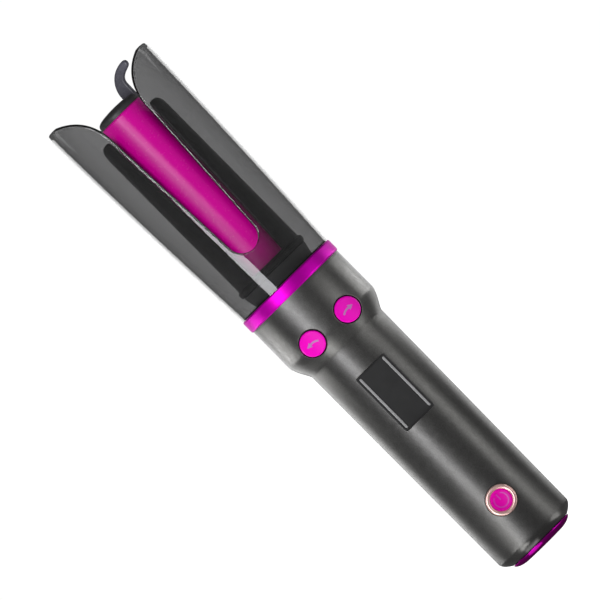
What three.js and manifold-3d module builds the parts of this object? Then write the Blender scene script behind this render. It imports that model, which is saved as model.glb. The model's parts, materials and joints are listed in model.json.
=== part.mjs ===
// Cordless automatic hair curler.
// Millimetres, +Z up. The origin is the middle of the flat foot, the curler stands on its foot,
// and the hair slot, the display and the buttons face -Y.

import * as THREE from 'three';
import { mergeVertices } from 'three/addons/utils/BufferGeometryUtils.js';
import Module from 'manifold-3d';

const wasm = await Module();
wasm.setup();

// ---------------------------------------------------------------- driving dimensions

const GAP = 0.3;            // clearance between two pieces that touch
const WALL = 1.8;           // casing wall
const ROUND = 40;           // sides of a large turned piece
const MIDDLE_ROUND = 24;
const SMALL_ROUND = 16;
const HEAD_ROUND = 96;      // for the curved faces of the arrow buttons
const SCREW_ROUND = 8;
const SCREW_HEAD = 1;       // height of a screw head
const BITE = 0.2;           // how far a joined piece reaches into the next

const foot = {
  flatRadius: 10, rimRadius: 16.4, height: 2.6, floor: 1.8, skirtRadius: 14.2, skirtTop: 8, skirtWall: 1.6,
};
const footDome = [[12.8, 0.35], [15, 1.2]];
const handle = { lowRadius: 20.8, highRadius: 21.3, bottom: 7.4, top: 123.5, edgeRadius: 20.2, edge: 5 };
const shoulder = { lowRadius: 21.8, low: 125.6, highRadius: 25.5, high: 130 };
const head = { radius: 25.6, bottom: 134, top: 156 };
const ring = { radius: 25.6, bore: 23.5, bottom: 156.3, top: 161.4 };
const guard = {
  lowRadius: 25.7, highRadius: 30.1, bulge: 2.3, wall: 2, bottom: 161.7, top: 280,
  spigotRadius: 23.2, spigotBore: 21.6, spigotBottom: 154.6,
};
const slot = { halfWidth: 7.5, endCentre: 189.3, topHalfWidth: 11, top: 259 };
const slotFlare = { lowX: 11.8, low: 270, highX: 17.5, high: 276.5 };
const valley = { bottom: 257, lowX: 8, highX: 16, high: 275 };
const wing = { tip: 27, tipHeight: 280.3, clear: 290 };
const FRONT_CUT = [-30, -10];   // from outside the casing to well inside its wall
const FAR = 40;                 // beyond every surface
const GUARD_STEPS = 8;          // rings up the wall of the guard

const deck = { radius: 21.2, bottom: 157, top: 161.6, bore: 10.6, collarRadius: 17.6, collarTop: 168.7 };
const post = { offset: 13.4, radius: 2.2, bottom: 148.5, holeRadius: 1.2, holeTop: 155.5 };
const bush = { lower: [157.4, 161], upper: [164.4, 168.4] };
const hub = { bore: 6.4, radius: 7.6, bottom: 148.6, clipRadius: 9.6, clipBottom: 148.8, clipTop: 149.7 };
const sleeve = { flangeRadius: 19, bottom: 169, floor: 172.4, inner: 16.4, outer: 18, top: 259.4 };
const sleeveSlot = { lowHalfWidth: 9.4, highHalfWidth: 12.9, floor: 173, round: 2 };
const frontFinger = { back: 1.5, tip: -12, round: 256, straight: 246 };
const rearFinger = { front: 9.5, top: 252, round: 4, behind: 25 };
const flankFloor = { low: 217, high: 224 };
const hook = { angle: 26.3, inner: 18.3, thickness: 2.4, halfWidth: 3.5, bottom: 228, bend: 273, top: 281.1 };
const hookBend = [[3.9, 276], [7, 276.6], [9.6, 277.5]];
const hookTip = [[11.5, 278.1], [11.5, hook.top], [9, hook.top]];
const hookBack = [[1.6, 281], [-3.3, 275.5], [-hook.halfWidth, 269.5]];
const hookScrew = { heights: [233, 244], length: 4.2, headRadius: 1.7, shankRadius: 0.8, holeRadius: 1.1 };

const stem = { radius: 6, bore: 4, bottom: 143.2, top: 184, flangeRadius: 7.9, flangeTop: 145.5 };
const barrel = { radius: 11, wall: 1.2, bottom: 172.9, top: 264, insulatorTop: 182 };
const cap = { bottom: 260, shoulder: 266.2, crown: [[9.9, 267.7], [7.6, 268.4], [0, 268.8]] };
const heater = { width: 8, thickness: 4, bottom: 190, top: 250, spreaderRadius: 9.5, spreaderEnd: 2 };
const thermistor = { radius: 1.2, length: 5 };

const gear = { module: 0.8, teeth: 24, bottom: 150, top: 155.5 };
const pinion = { teeth: 10, shaftRadius: 1.5, shaftBottom: 148.2, shaftTop: 156.2 };
const motor = { diameter: 12, depth: 10, bottom: 121, top: 145.5, bossRadius: 2.9, bossTop: 147.9 };
const motorTail = { radius: 2, length: 1.2 };
const motorScrew = { x: 4.5, length: 5.6, headRadius: 1.4, shankRadius: 0.7, holeRadius: 0.95, holeDepth: 4 };
const mountPlate = { radius: 23, bottom: 145.8, top: 148.2 };
const mountScrew = { length: 10, headRadius: 1.9, shankRadius: 0.9 };

const arrowButton = { x: 10.7, z: 134.1, radius: 5.8, back: -16.6, hole: 6.3, proud: 0.2 };
const powerButton = {
  z: 27.7, radius: 5.25, back: -16, hole: 7, height: 4.9, edge: 0.6, rim: 1.4, dish: 0.7,
};
const powerRing = { radius: 6.65, bore: 5.5, back: -18, height: 3.2, edge: 0.4 };
const pushSwitch = { halfWidth: 3, height: 3.3, plungerRadius: 1.6, plungerHeight: 3.9 };
const display = { halfWidth: 8.1, bottom: 78.1, top: 109.4, front: -19.3, back: -17.8 };
const displayBar = { x: 6.95, width: 1.5, end: 0.6, front: -19.45, depth: 0.5, gap: 0.2 };
const displayModule = { halfWidth: 7.6, back: -14.9, bottom: 79.2, top: 108.4 };

const cell = { radius: 9.1, x: 9.25, y: 2.5, bottom: 39.5, top: 104.7, edge: 0.5, nub: 1, nubRadius: 3 };
const holder = { radius: 18.7, front: -7.5, lower: [36.5, 39.2], upper: [106, 108.6] };
const spine = { halfWidth: 3, front: 12.6, back: 17.8, bottom: 38, top: 107 };
const mainBoard = { halfWidth: 11.5, front: -10.8, back: -9.2, bottom: 16, top: 118 };
const boardChips = [
  { x: [-3.5, 3.5], z: [48, 55], height: 1.2 },
  { x: [4, 10], z: [60, 66], height: 2.4 },
  { x: [-10, -5], z: [62, 70], height: 1.6 },
  { x: [-9, 9], z: [112.5, 116.5], height: 1.8 },
];
const boardScrew = { heights: [37.9, 107.2], length: 7, headRadius: 1.8, shankRadius: 0.8, holeRadius: 1.1 };
const buttonBoard = { halfWidth: 15.4, front: -11.4, back: -9.8, bottom: 128, top: 141.2 };
const chargeBoard = { radius: 14.4, bottom: 9.4, top: 11, screwX: 10, postRadius: 2.2 };
const usb = { width: 8.9, depth: 3.2, wall: 0.35, y: 5.2, bottom: 0.8, top: 9.1, mouthTop: 7 };
const usbTongue = { halfWidth: 3.3, halfDepth: 0.35, bottom: 1.6, top: 7.5 };

const chargePlaces = [-chargeBoard.screwX, chargeBoard.screwX];
const gearPitch = gear.module * gear.teeth / 2;
const pinionPitch = gear.module * pinion.teeth / 2;
const motorY = gearPitch + pinionPitch;
const motorPlaces = [-motorScrew.x, motorScrew.x];

// ---------------------------------------------------------------- materials

function finish(color, roughness, metalness) {
  return new THREE.MeshStandardMaterial({ color, roughness, metalness });
}

const graphite = () => finish(0x4a4a48, 0.35, 0.6);
const blackPlastic = () => finish(0x1b1b1c, 0.45, 0);
const smokyPlastic = () => finish(0x6c6c6c, 0.12, 0);
const magentaMetal = () => finish(0xb0129a, 0.3, 0.8);
const magentaEnamel = () => finish(0xc4057f, 0.15, 0.2);
const magentaPlastic = () => finish(0xff22c0, 0.4, 0);
const roseGold = () => finish(0xe8c2bd, 0.3, 0.9);
const greyNylon = () => finish(0x6d6d78, 0.4, 0);
const steel = () => finish(0xb4b6b8, 0.3, 1);
const brass = () => finish(0xc9a24b, 0.35, 1);
const aluminium = () => finish(0xc2c5c8, 0.4, 1);
const whiteNylon = () => finish(0xe6e4dc, 0.5, 0);
const ceramic = () => finish(0xd8d2c4, 0.6, 0);
const boardGreen = () => finish(0x1f5b3a, 0.5, 0.1);
const glassBlack = () => finish(0x2a2a2b, 0.1, 0);

// ---------------------------------------------------------------- solids and booleans

function toSolid(geometry) {
  const bare = geometry.clone();
  bare.deleteAttribute('normal');
  bare.deleteAttribute('uv');
  const merged = mergeVertices(bare, 1e-4);
  const vertProperties = new Float32Array(merged.attributes.position.array);
  const triVerts = new Uint32Array(merged.index.array);
  return new wasm.Manifold(new wasm.Mesh({ numProp: 3, vertProperties, triVerts }));
}

function toGeometry(solid) {
  const mesh = solid.getMesh();
  const geometry = new THREE.BufferGeometry();
  geometry.setAttribute('position', new THREE.BufferAttribute(mesh.vertProperties, 3));
  geometry.setIndex(new THREE.BufferAttribute(mesh.triVerts, 1));
  geometry.computeVertexNormals();
  return geometry;
}

// A closed profile of [radius, height] pairs, turned about Z.
function turned(profile, sides = ROUND) {
  const points = profile.map(([radius, height]) => new THREE.Vector2(radius, height));
  if (points[0].x > 0 || points.at(-1).x > 0) {
    points.push(points[0].clone());
  }
  if (THREE.ShapeUtils.area(points) < 0) {
    points.reverse();
  }
  return new THREE.LatheGeometry(points, sides).rotateX(Math.PI / 2);
}

function tube(inner, outer, bottom, top, sides = ROUND) {
  return turned([[inner, bottom], [outer, bottom], [outer, top], [inner, top]], sides);
}

function rod(radius, bottom, top, sides = SMALL_ROUND) {
  return turned([[0, bottom], [radius, bottom], [radius, top], [0, top]], sides);
}

// A rod along Y, from yFront to yBack, centred on x and z.
function rodY(radius, x, z, yFront, yBack, sides = SMALL_ROUND) {
  return rod(radius, 0, yBack - yFront, sides).rotateX(-Math.PI / 2).translate(x, yFront, z);
}

function block(xLow, xHigh, yLow, yHigh, zLow, zHigh) {
  const box = new THREE.BoxGeometry(xHigh - xLow, yHigh - yLow, zHigh - zLow);
  return box.translate((xLow + xHigh) / 2, (yLow + yHigh) / 2, (zLow + zHigh) / 2);
}

// An outline in the XY plane, raised from bottom to top.
function prismZ(outline, bottom, top, curveSegments = 8) {
  const options = { depth: top - bottom, bevelEnabled: false, curveSegments };
  return new THREE.ExtrudeGeometry(outline, options).translate(0, 0, bottom);
}

// An outline in the XZ plane, carried from yFront to yBack.
function prismY(outline, yFront, yBack, curveSegments = 8) {
  const flat = prismZ(outline, 0, yBack - yFront, curveSegments);
  return flat.rotateX(Math.PI / 2).translate(0, yBack, 0);
}

// An outline in the YZ plane, carried from xLow to xHigh.
function prismX(outline, xLow, xHigh, curveSegments = 8) {
  const flat = prismZ(outline, 0, xHigh - xLow, curveSegments);
  return flat.rotateX(Math.PI / 2).rotateZ(Math.PI / 2).translate(xLow, 0, 0);
}

function cut(geometry, ...cutters) {
  const result = cutters.reduce((solid, cutter) => solid.subtract(toSolid(cutter)), toSolid(geometry));
  return toGeometry(result);
}

function join(geometry, ...others) {
  const result = others.reduce((solid, other) => solid.add(toSolid(other)), toSolid(geometry));
  return toGeometry(result);
}

function common(geometry, other) {
  return toGeometry(toSolid(geometry).intersect(toSolid(other)));
}

const curler = new THREE.Group();

function add(name, geometry, material, parent = curler) {
  const mesh = new THREE.Mesh(geometry, material);
  mesh.name = name;
  parent.add(mesh);
  return mesh;
}

// A screw with its head down at z = 0 and its shank pointing up.
function screw(name, { length, headRadius, shankRadius }) {
  const profile = [
    [0, 0], [headRadius * 0.8, 0], [headRadius, SCREW_HEAD * 0.4], [headRadius, SCREW_HEAD],
    [shankRadius, SCREW_HEAD], [shankRadius, length], [0, length],
  ];
  return add(name, turned(profile, SCREW_ROUND), steel());
}

// ---------------------------------------------------------------- casing and foot

// The outside of the casing, or a surface inset from it, as [radius, height] pairs.
function casingOutline(inset, divisions) {
  const line = new THREE.Path();
  line.moveTo(foot.rimRadius - inset, foot.height + GAP);
  line.quadraticCurveTo(handle.edgeRadius - inset, handle.edge, handle.lowRadius - inset, handle.bottom);
  line.lineTo(handle.highRadius - inset, handle.top);
  line.bezierCurveTo(
    shoulder.lowRadius - inset, shoulder.low, shoulder.highRadius - inset, shoulder.high,
    head.radius - inset, head.bottom,
  );
  line.lineTo(head.radius - inset, head.top);
  return line.getPoints(divisions).map((point) => [point.x, point.y]);
}

function mainCasing() {
  const shell = turned([...casingOutline(0, 4), ...casingOutline(WALL, 2).reverse()]);
  const window = block(
    -display.halfWidth - GAP, display.halfWidth + GAP, ...FRONT_CUT,
    display.bottom - GAP, display.top + GAP,
  );
  const cutters = [-1, 1].map(
    (side) => rodY(arrowButton.hole, side * arrowButton.x, arrowButton.z, ...FRONT_CUT, MIDDLE_ROUND),
  );
  cutters.push(rodY(powerButton.hole, 0, powerButton.z, ...FRONT_CUT, MIDDLE_ROUND));
  return cut(shell, window, ...cutters);
}

function footCap() {
  const profile = [
    [0, 0], [foot.flatRadius, 0], ...footDome, [foot.rimRadius, foot.height],
    [foot.skirtRadius, foot.height], [foot.skirtRadius, foot.skirtTop],
    [foot.skirtRadius - foot.skirtWall, foot.skirtTop], [foot.skirtRadius - foot.skirtWall, foot.floor],
    [0, foot.floor],
  ];
  const postBottom = foot.floor - BITE;
  const posts = chargePlaces.map(
    (x) => rod(chargeBoard.postRadius, postBottom, chargeBoard.bottom - GAP).translate(x, 0, 0),
  );
  const screwHoles = chargePlaces.map(
    (x) => rod(boardScrew.holeRadius, foot.floor + 1, chargeBoard.top, SCREW_ROUND).translate(x, 0, 0),
  );
  const socketHole = block(
    -usb.width / 2 - GAP, usb.width / 2 + GAP,
    usb.y - usb.depth / 2 - GAP, usb.y + usb.depth / 2 + GAP, -1, usb.top,
  );
  return cut(join(turned(profile), ...posts), socketHole, ...screwHoles);
}

add('main_casing', mainCasing(), graphite());
add('accent_ring', tube(ring.bore, ring.radius, ring.bottom, ring.top), magentaMetal());
add('foot_cap', footCap(), magentaMetal());

// ---------------------------------------------------------------- clear chamber guard

// The hair opening seen from the front: round at the bottom, widening, then flaring into two wings.
function frontOpening() {
  const outline = new THREE.Shape();
  outline.moveTo(slot.halfWidth, slot.endCentre);
  outline.lineTo(slot.topHalfWidth, slot.top);
  outline.bezierCurveTo(
    slotFlare.lowX, slotFlare.low, slotFlare.highX, slotFlare.high, wing.tip, wing.tipHeight,
  );
  outline.lineTo(wing.tip, wing.clear);
  outline.lineTo(-wing.tip, wing.clear);
  outline.lineTo(-wing.tip, wing.tipHeight);
  outline.bezierCurveTo(
    -slotFlare.highX, slotFlare.high, -slotFlare.lowX, slotFlare.low, -slot.topHalfWidth, slot.top,
  );
  outline.lineTo(-slot.halfWidth, slot.endCentre);
  outline.absarc(0, slot.endCentre, slot.halfWidth, Math.PI, 2 * Math.PI, false);
  return outline;
}

// The shallower dip between the wings at the back.
function backOpening() {
  const outline = new THREE.Shape();
  outline.moveTo(0, valley.bottom);
  outline.bezierCurveTo(valley.lowX, valley.bottom, valley.highX, valley.high, wing.tip, wing.tipHeight);
  outline.lineTo(wing.tip, wing.clear);
  outline.lineTo(-wing.tip, wing.clear);
  outline.lineTo(-wing.tip, wing.tipHeight);
  outline.bezierCurveTo(-valley.highX, valley.high, -valley.lowX, valley.bottom, 0, valley.bottom);
  return outline;
}

// The outer radius of the guard at a height: a cone that swells a little in the middle.
function guardRadius(height) {
  const share = (height - guard.bottom) / (guard.top - guard.bottom);
  const cone = guard.lowRadius + (guard.highRadius - guard.lowRadius) * share;
  return cone + guard.bulge * share * (1 - share);
}

// Points up the wall between two heights, a distance inside its outer face.
function guardWall(low, high, inside) {
  const points = [];
  for (let step = 0; step <= GUARD_STEPS; step += 1) {
    const height = low + (high - low) * step / GUARD_STEPS;
    points.push([guardRadius(height) - inside, height]);
  }
  return points;
}

function chamberGuard() {
  const highOuter = guardRadius(guard.top);
  const highInner = highOuter - guard.wall;
  const profile = [
    [guard.spigotRadius, guard.spigotBottom], [guard.spigotRadius, guard.bottom],
    ...guardWall(guard.bottom, guard.top - 2.2, 0),
    [highOuter - 0.5, guard.top - 0.8], [highOuter - 1.3, guard.top], [highInner + 0.3, guard.top],
    ...guardWall(guard.bottom + 2, guard.top - 0.5, guard.wall).reverse(),
    [guard.spigotBore, guard.bottom], [guard.spigotBore, guard.spigotBottom],
  ];
  const front = prismY(frontOpening(), -FAR, 0);
  const back = prismY(backOpening(), 0, FAR);
  return cut(turned(profile), front, back);
}

add('chamber_guard', chamberGuard(), smokyPlastic());

// ---------------------------------------------------------------- fixed bearing deck

const postPlaces = [[1, 1], [-1, 1], [-1, -1], [1, -1]].map(([x, y]) => [x * post.offset, y * post.offset]);

function bearingDeck() {
  const profile = [
    [deck.bore, deck.bottom], [deck.radius, deck.bottom], [deck.radius, deck.top],
    [deck.collarRadius, deck.top], [deck.collarRadius, deck.collarTop], [deck.bore, deck.collarTop],
  ];
  const posts = postPlaces.map(
    ([x, y]) => rod(post.radius, post.bottom, deck.bottom + 1).translate(x, y, 0),
  );
  const hole = rod(post.holeRadius, post.bottom - 1, post.holeTop, SCREW_ROUND);
  const holes = postPlaces.map(([x, y]) => hole.clone().translate(x, y, 0));
  return cut(join(turned(profile), ...posts), ...holes);
}

function hubBush([bottom, top]) {
  return tube(hub.radius + GAP, deck.bore - GAP, bottom, top, MIDDLE_ROUND);
}

add('bearing_deck', bearingDeck(), blackPlastic());
add('lower_bush', hubBush(bush.lower), brass());
add('upper_bush', hubBush(bush.upper), brass());

// ---------------------------------------------------------------- rotating winder

// Side view of what is cut away on both flanks, which leaves two front fingers and a rear finger.
function flankOpening() {
  const outline = new THREE.Shape();
  outline.moveTo(frontFinger.tip, sleeve.top + 1);
  outline.lineTo(frontFinger.tip, sleeve.top);
  outline.bezierCurveTo(
    frontFinger.tip / 2, sleeve.top, -1, frontFinger.round, frontFinger.back, frontFinger.straight,
  );
  outline.lineTo(frontFinger.back, flankFloor.high);
  outline.bezierCurveTo(
    frontFinger.back, flankFloor.low, rearFinger.front, flankFloor.low, rearFinger.front, flankFloor.high,
  );
  outline.lineTo(rearFinger.front, rearFinger.top - rearFinger.round);
  outline.quadraticCurveTo(
    rearFinger.front, rearFinger.top, rearFinger.front + rearFinger.round, rearFinger.top,
  );
  outline.lineTo(rearFinger.behind, rearFinger.top);
  outline.lineTo(rearFinger.behind, sleeve.top + 1);
  return outline;
}

function sleeveFrontOpening() {
  const { lowHalfWidth, highHalfWidth, floor, round } = sleeveSlot;
  const outline = new THREE.Shape();
  outline.moveTo(-lowHalfWidth, floor);
  outline.lineTo(lowHalfWidth, floor);
  outline.lineTo(highHalfWidth, sleeve.top - round);
  outline.quadraticCurveTo(highHalfWidth, sleeve.top, highHalfWidth + round, sleeve.top + 1);
  outline.lineTo(-highHalfWidth - round, sleeve.top + 1);
  outline.quadraticCurveTo(-highHalfWidth, sleeve.top, -highHalfWidth, sleeve.top - round);
  return outline;
}

// A rod through the sleeve wall and the hook's foot, on the hook's own radius.
function hookRod(radius, height, from, to, sides = SCREW_ROUND) {
  return rod(radius, from, to, sides).rotateX(-Math.PI / 2).translate(0, 0, height)
    .rotateZ(-THREE.MathUtils.degToRad(hook.angle));
}

function winderSleeve() {
  const profile = [
    [hub.bore, hub.bottom], [hub.radius, hub.bottom], [hub.radius, sleeve.bottom],
    [sleeve.outer, sleeve.bottom], [sleeve.flangeRadius, sleeve.bottom + 0.9],
    [sleeve.flangeRadius, sleeve.floor - 0.8], [sleeve.outer, sleeve.floor],
    [sleeve.outer, sleeve.top], [sleeve.inner, sleeve.top], [sleeve.inner, sleeve.floor],
    [hub.bore, sleeve.floor],
  ];
  const front = prismY(sleeveFrontOpening(), -FAR, 0);
  const flanks = prismX(flankOpening(), -FAR, FAR);
  const holes = hookScrew.heights.map((height) => hookRod(hookScrew.holeRadius, height, 14, 19));
  return cut(turned(profile), front, flanks, ...holes);
}

// A flat claw in a plane tangent to the sleeve, bent over at the top to catch the hair.
function catchHook() {
  const outline = new THREE.Shape();
  outline.moveTo(-hook.halfWidth, hook.bottom);
  outline.lineTo(hook.halfWidth, hook.bottom);
  outline.lineTo(hook.halfWidth, hook.bend);
  for (const curve of [hookBend, hookTip, hookBack]) {
    outline.bezierCurveTo(...curve.flat());
  }
  const plate = prismY(outline, hook.inner, hook.inner + hook.thickness)
    .rotateZ(-THREE.MathUtils.degToRad(hook.angle));
  return cut(plate, ...hookScrew.heights.map((height) => hookRod(hookScrew.holeRadius, height, 15, 24)));
}

// The outline of a spur gear with straight-flanked teeth.
function gearOutline(teeth, bore) {
  const pitch = gear.module * teeth / 2;
  const tip = pitch + gear.module * 0.85;
  const root = pitch - gear.module * 1.15;
  const step = 2 * Math.PI / teeth;
  const points = [];
  for (let tooth = 0; tooth < teeth; tooth += 1) {
    for (const [radius, share] of [[root, -0.33], [tip, -0.12], [tip, 0.12], [root, 0.33]]) {
      const angle = (tooth + share) * step;
      points.push(new THREE.Vector2(radius * Math.cos(angle), radius * Math.sin(angle)));
    }
  }
  const outline = new THREE.Shape(points);
  if (bore) {
    outline.holes.push(new THREE.Path().absarc(0, 0, bore, 0, 2 * Math.PI, true));
  }
  return outline;
}

add('winder_sleeve', winderSleeve(), blackPlastic());
add('catch_hook', catchHook(), greyNylon());
hookScrew.heights.forEach((height, index) => {
  const made = screw(`hook_screw_${index + 1}`, hookScrew);
  const turn = THREE.MathUtils.degToRad(hook.angle);
  const seat = hook.inner + hook.thickness + SCREW_HEAD + GAP;
  made.rotation.set(Math.PI / 2, 0, -turn, 'ZYX');
  made.position.set(seat * Math.sin(turn), seat * Math.cos(turn), height);
});
add('driven_gear', prismZ(gearOutline(gear.teeth, hub.radius + GAP), gear.bottom, gear.top), whiteNylon());
add('hub_clip', tube(hub.radius + GAP, hub.clipRadius, hub.clipBottom, hub.clipTop, MIDDLE_ROUND), steel());

// ---------------------------------------------------------------- heated barrel

function barrelStem() {
  const profile = [
    [stem.bore, stem.bottom], [stem.flangeRadius, stem.bottom], [stem.flangeRadius, stem.flangeTop],
    [stem.radius, stem.flangeTop], [stem.radius, stem.top], [stem.bore, stem.top],
  ];
  return turned(profile, MIDDLE_ROUND);
}

function heatSpreader() {
  const start = Math.asin((heater.thickness / 2 + GAP) / heater.spreaderRadius);
  const outline = new THREE.Shape();
  outline.absarc(0, 0, heater.spreaderRadius, start, Math.PI - start, false);
  return prismZ(outline, heater.bottom - heater.spreaderEnd, heater.top + heater.spreaderEnd, 14);
}

const barrelBore = barrel.radius - barrel.wall;
const capProfile = [
  [0, cap.bottom], [barrelBore - GAP, cap.bottom], [barrelBore - GAP, barrel.top + GAP],
  [barrel.radius, barrel.top + GAP], [barrel.radius, cap.shoulder], ...cap.crown,
];

add('barrel_stem', barrelStem(), steel());
add('barrel_insulator', tube(
  stem.radius + GAP, barrelBore - GAP, barrel.bottom, barrel.insulatorTop, MIDDLE_ROUND,
), blackPlastic());
add('heated_barrel', tube(barrelBore, barrel.radius, barrel.bottom, barrel.top), magentaEnamel());
add('barrel_cap', turned(capProfile, ROUND), blackPlastic());
add('heater_core', block(
  -heater.width / 2, heater.width / 2, -heater.thickness / 2, heater.thickness / 2, heater.bottom, heater.top,
), ceramic());
add('rear_heat_spreader', heatSpreader(), aluminium());
add('front_heat_spreader', heatSpreader(), aluminium()).rotation.z = Math.PI;
add('thermistor', rod(
  thermistor.radius, heater.top + 1, heater.top + 1 + thermistor.length, SCREW_ROUND,
), glassBlack());

// ---------------------------------------------------------------- drive

function motorMount() {
  const through = [mountPlate.bottom - 1, mountPlate.top + 1];
  const holes = postPlaces.map(([x, y]) => rod(post.holeRadius, ...through, SCREW_ROUND).translate(x, y, 0));
  holes.push(rod(stem.radius + GAP, ...through, MIDDLE_ROUND));
  holes.push(rod(motor.bossRadius + GAP, ...through).translate(0, motorY, 0));
  for (const x of motorPlaces) {
    holes.push(rod(motorScrew.shankRadius + GAP, ...through, SCREW_ROUND).translate(x, motorY, 0));
  }
  return cut(rod(mountPlate.radius, mountPlate.bottom, mountPlate.top, ROUND), ...holes);
}

function driveMotor() {
  const can = rod(motor.diameter / 2, motor.bottom, motor.top, MIDDLE_ROUND);
  const flats = block(
    -motor.diameter, motor.diameter, -motor.depth / 2, motor.depth / 2, motor.bottom, motor.top,
  );
  const boss = rod(motor.bossRadius, motor.top - 1, motor.bossTop);
  const tail = rod(motorTail.radius, motor.bottom - motorTail.length, motor.bottom + 1);
  const hole = rod(motorScrew.holeRadius, motor.top - motorScrew.holeDepth, motor.top + 1, SCREW_ROUND);
  const holes = motorPlaces.map((x) => hole.clone().translate(x, 0, 0));
  return cut(join(common(can, flats), boss, tail), ...holes);
}

function motorPinion() {
  const teeth = prismZ(gearOutline(pinion.teeth), gear.bottom, gear.top);
  const shaft = rod(pinion.shaftRadius, pinion.shaftBottom, pinion.shaftTop, SCREW_ROUND);
  return join(teeth, shaft);
}

add('motor_mount', motorMount(), blackPlastic());
add('drive_motor', driveMotor(), steel()).position.y = motorY;
const drivePinion = add('motor_pinion', motorPinion(), brass());
drivePinion.position.y = motorY;
// The driven gear has a tooth on +Y, where this turns a gap of the pinion.
drivePinion.rotation.z = -Math.PI / 2 + Math.PI / pinion.teeth;
postPlaces.forEach(([x, y], index) => {
  screw(`mount_screw_${index + 1}`, mountScrew).position.set(x, y, mountPlate.bottom - SCREW_HEAD - GAP);
});
motorPlaces.forEach((x, index) => {
  const made = screw(`motor_screw_${index + 1}`, motorScrew);
  made.rotation.x = Math.PI;
  made.position.set(x, motorY, mountPlate.top + SCREW_HEAD + GAP);
});

// ---------------------------------------------------------------- buttons

// A cap with the head's own curved face, pressed along Y.
function arrowCap(side) {
  const { x, z, radius, back, proud } = arrowButton;
  const blank = rodY(radius, side * x, z, -FAR, back, MIDDLE_ROUND);
  return common(blank, rod(head.radius + proud, z - 2 * radius, z + 2 * radius, HEAD_ROUND));
}

function powerCap() {
  const { z, radius, back, height, edge, rim, dish } = powerButton;
  const profile = [
    [0, 0], [radius, 0], [radius, height - edge], [radius - edge, height], [radius - rim, height],
    [0, height - dish],
  ];
  return turned(profile, MIDDLE_ROUND).rotateX(Math.PI / 2).translate(0, back, z);
}

function powerBezel() {
  const { radius, bore, back, height, edge } = powerRing;
  const profile = [
    [bore, 0], [radius, 0], [radius, height - edge], [radius - edge, height], [bore + edge, height],
    [bore, height - edge],
  ];
  return turned(profile, MIDDLE_ROUND).rotateX(Math.PI / 2).translate(0, back, powerButton.z);
}

// A push switch with its plunger towards -Y, seated on a board face.
function switchOn(x, z, seat) {
  const { halfWidth, height, plungerRadius, plungerHeight } = pushSwitch;
  const body = block(x - halfWidth, x + halfWidth, seat - height, seat - GAP, z - halfWidth, z + halfWidth);
  return join(body, rodY(plungerRadius, x, z, seat - plungerHeight, seat - height + BITE, SCREW_ROUND));
}

add('left_button', arrowCap(-1), magentaPlastic());
add('right_button', arrowCap(1), magentaPlastic());
add('button_board', block(
  -buttonBoard.halfWidth, buttonBoard.halfWidth, buttonBoard.front, buttonBoard.back,
  buttonBoard.bottom, buttonBoard.top,
), boardGreen());
add('left_switch', switchOn(-arrowButton.x, arrowButton.z, buttonBoard.front), blackPlastic());
add('right_switch', switchOn(arrowButton.x, arrowButton.z, buttonBoard.front), blackPlastic());
add('power_button', powerCap(), magentaPlastic());
add('power_ring', powerBezel(), roseGold());
add('power_switch', switchOn(0, powerButton.z, mainBoard.front), blackPlastic());

// ---------------------------------------------------------------- display

// A bar with round ends, standing on its bottom end at the origin.
function barOutline(width, height) {
  const radius = width / 2;
  const outline = new THREE.Shape();
  outline.absarc(0, height - radius, radius, 0, Math.PI, false);
  outline.absarc(0, radius, radius, Math.PI, 2 * Math.PI, false);
  return outline;
}

const barBottom = display.bottom + displayBar.end;
const barHeight = display.top - display.bottom - 2 * displayBar.end;

function displayLens() {
  const plate = block(
    -display.halfWidth, display.halfWidth, display.front, display.back, display.bottom, display.top,
  );
  const groove = barOutline(displayBar.width + 2 * displayBar.gap, barHeight + 2 * displayBar.gap);
  const grooveBack = displayBar.front + displayBar.depth + GAP;
  const grooves = [-1, 1].map((side) => prismY(groove, display.front - 1, grooveBack, 5)
    .translate(side * displayBar.x, 0, barBottom - displayBar.gap));
  return cut(plate, ...grooves);
}

add('display_lens', displayLens(), glassBlack());
[['left', -1], ['right', 1]].forEach(([word, side]) => {
  const bar = prismY(barOutline(displayBar.width, barHeight), 0, displayBar.depth, 5);
  add(`display_bar_${word}`, bar, aluminium()).position.set(side * displayBar.x, displayBar.front, barBottom);
});
add('display_module', block(
  -displayModule.halfWidth, displayModule.halfWidth, display.back + GAP, displayModule.back,
  displayModule.bottom, displayModule.top,
), blackPlastic());

// ---------------------------------------------------------------- power and electronics

function batteryCell() {
  const { radius, bottom, top, edge, nub, nubRadius } = cell;
  const profile = [
    [0, bottom], [radius - edge, bottom], [radius, bottom + edge], [radius, top - edge],
    [radius - edge, top], [nubRadius, top], [nubRadius, top + nub], [0, top + nub],
  ];
  return turned(profile, MIDDLE_ROUND);
}

// A round plate above or below the cells, cut flat behind the main board.
function holderPlate([bottom, top]) {
  const front = block(-FAR, FAR, -FAR, holder.front, bottom - 1, top + 1);
  return cut(rod(holder.radius, bottom, top, MIDDLE_ROUND), front);
}

function batteryHolder() {
  const back = block(-spine.halfWidth, spine.halfWidth, spine.front, spine.back, spine.bottom, spine.top);
  const holes = boardScrew.heights.map(
    (height) => rodY(boardScrew.holeRadius, 0, height, holder.front - 1, -2, SCREW_ROUND),
  );
  return cut(join(holderPlate(holder.lower), holderPlate(holder.upper), back), ...holes);
}

function mainBoardWithParts() {
  const board = block(
    -mainBoard.halfWidth, mainBoard.halfWidth, mainBoard.front, mainBoard.back,
    mainBoard.bottom, mainBoard.top,
  );
  const chips = boardChips.map(
    ({ x, z, height }) => block(...x, mainBoard.front - height, mainBoard.front + BITE, ...z),
  );
  const holes = boardScrew.heights.map(
    (height) => rodY(boardScrew.holeRadius, 0, height, mainBoard.front - 1, mainBoard.back + 1, SCREW_ROUND),
  );
  return cut(join(board, ...chips), ...holes);
}

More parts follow.
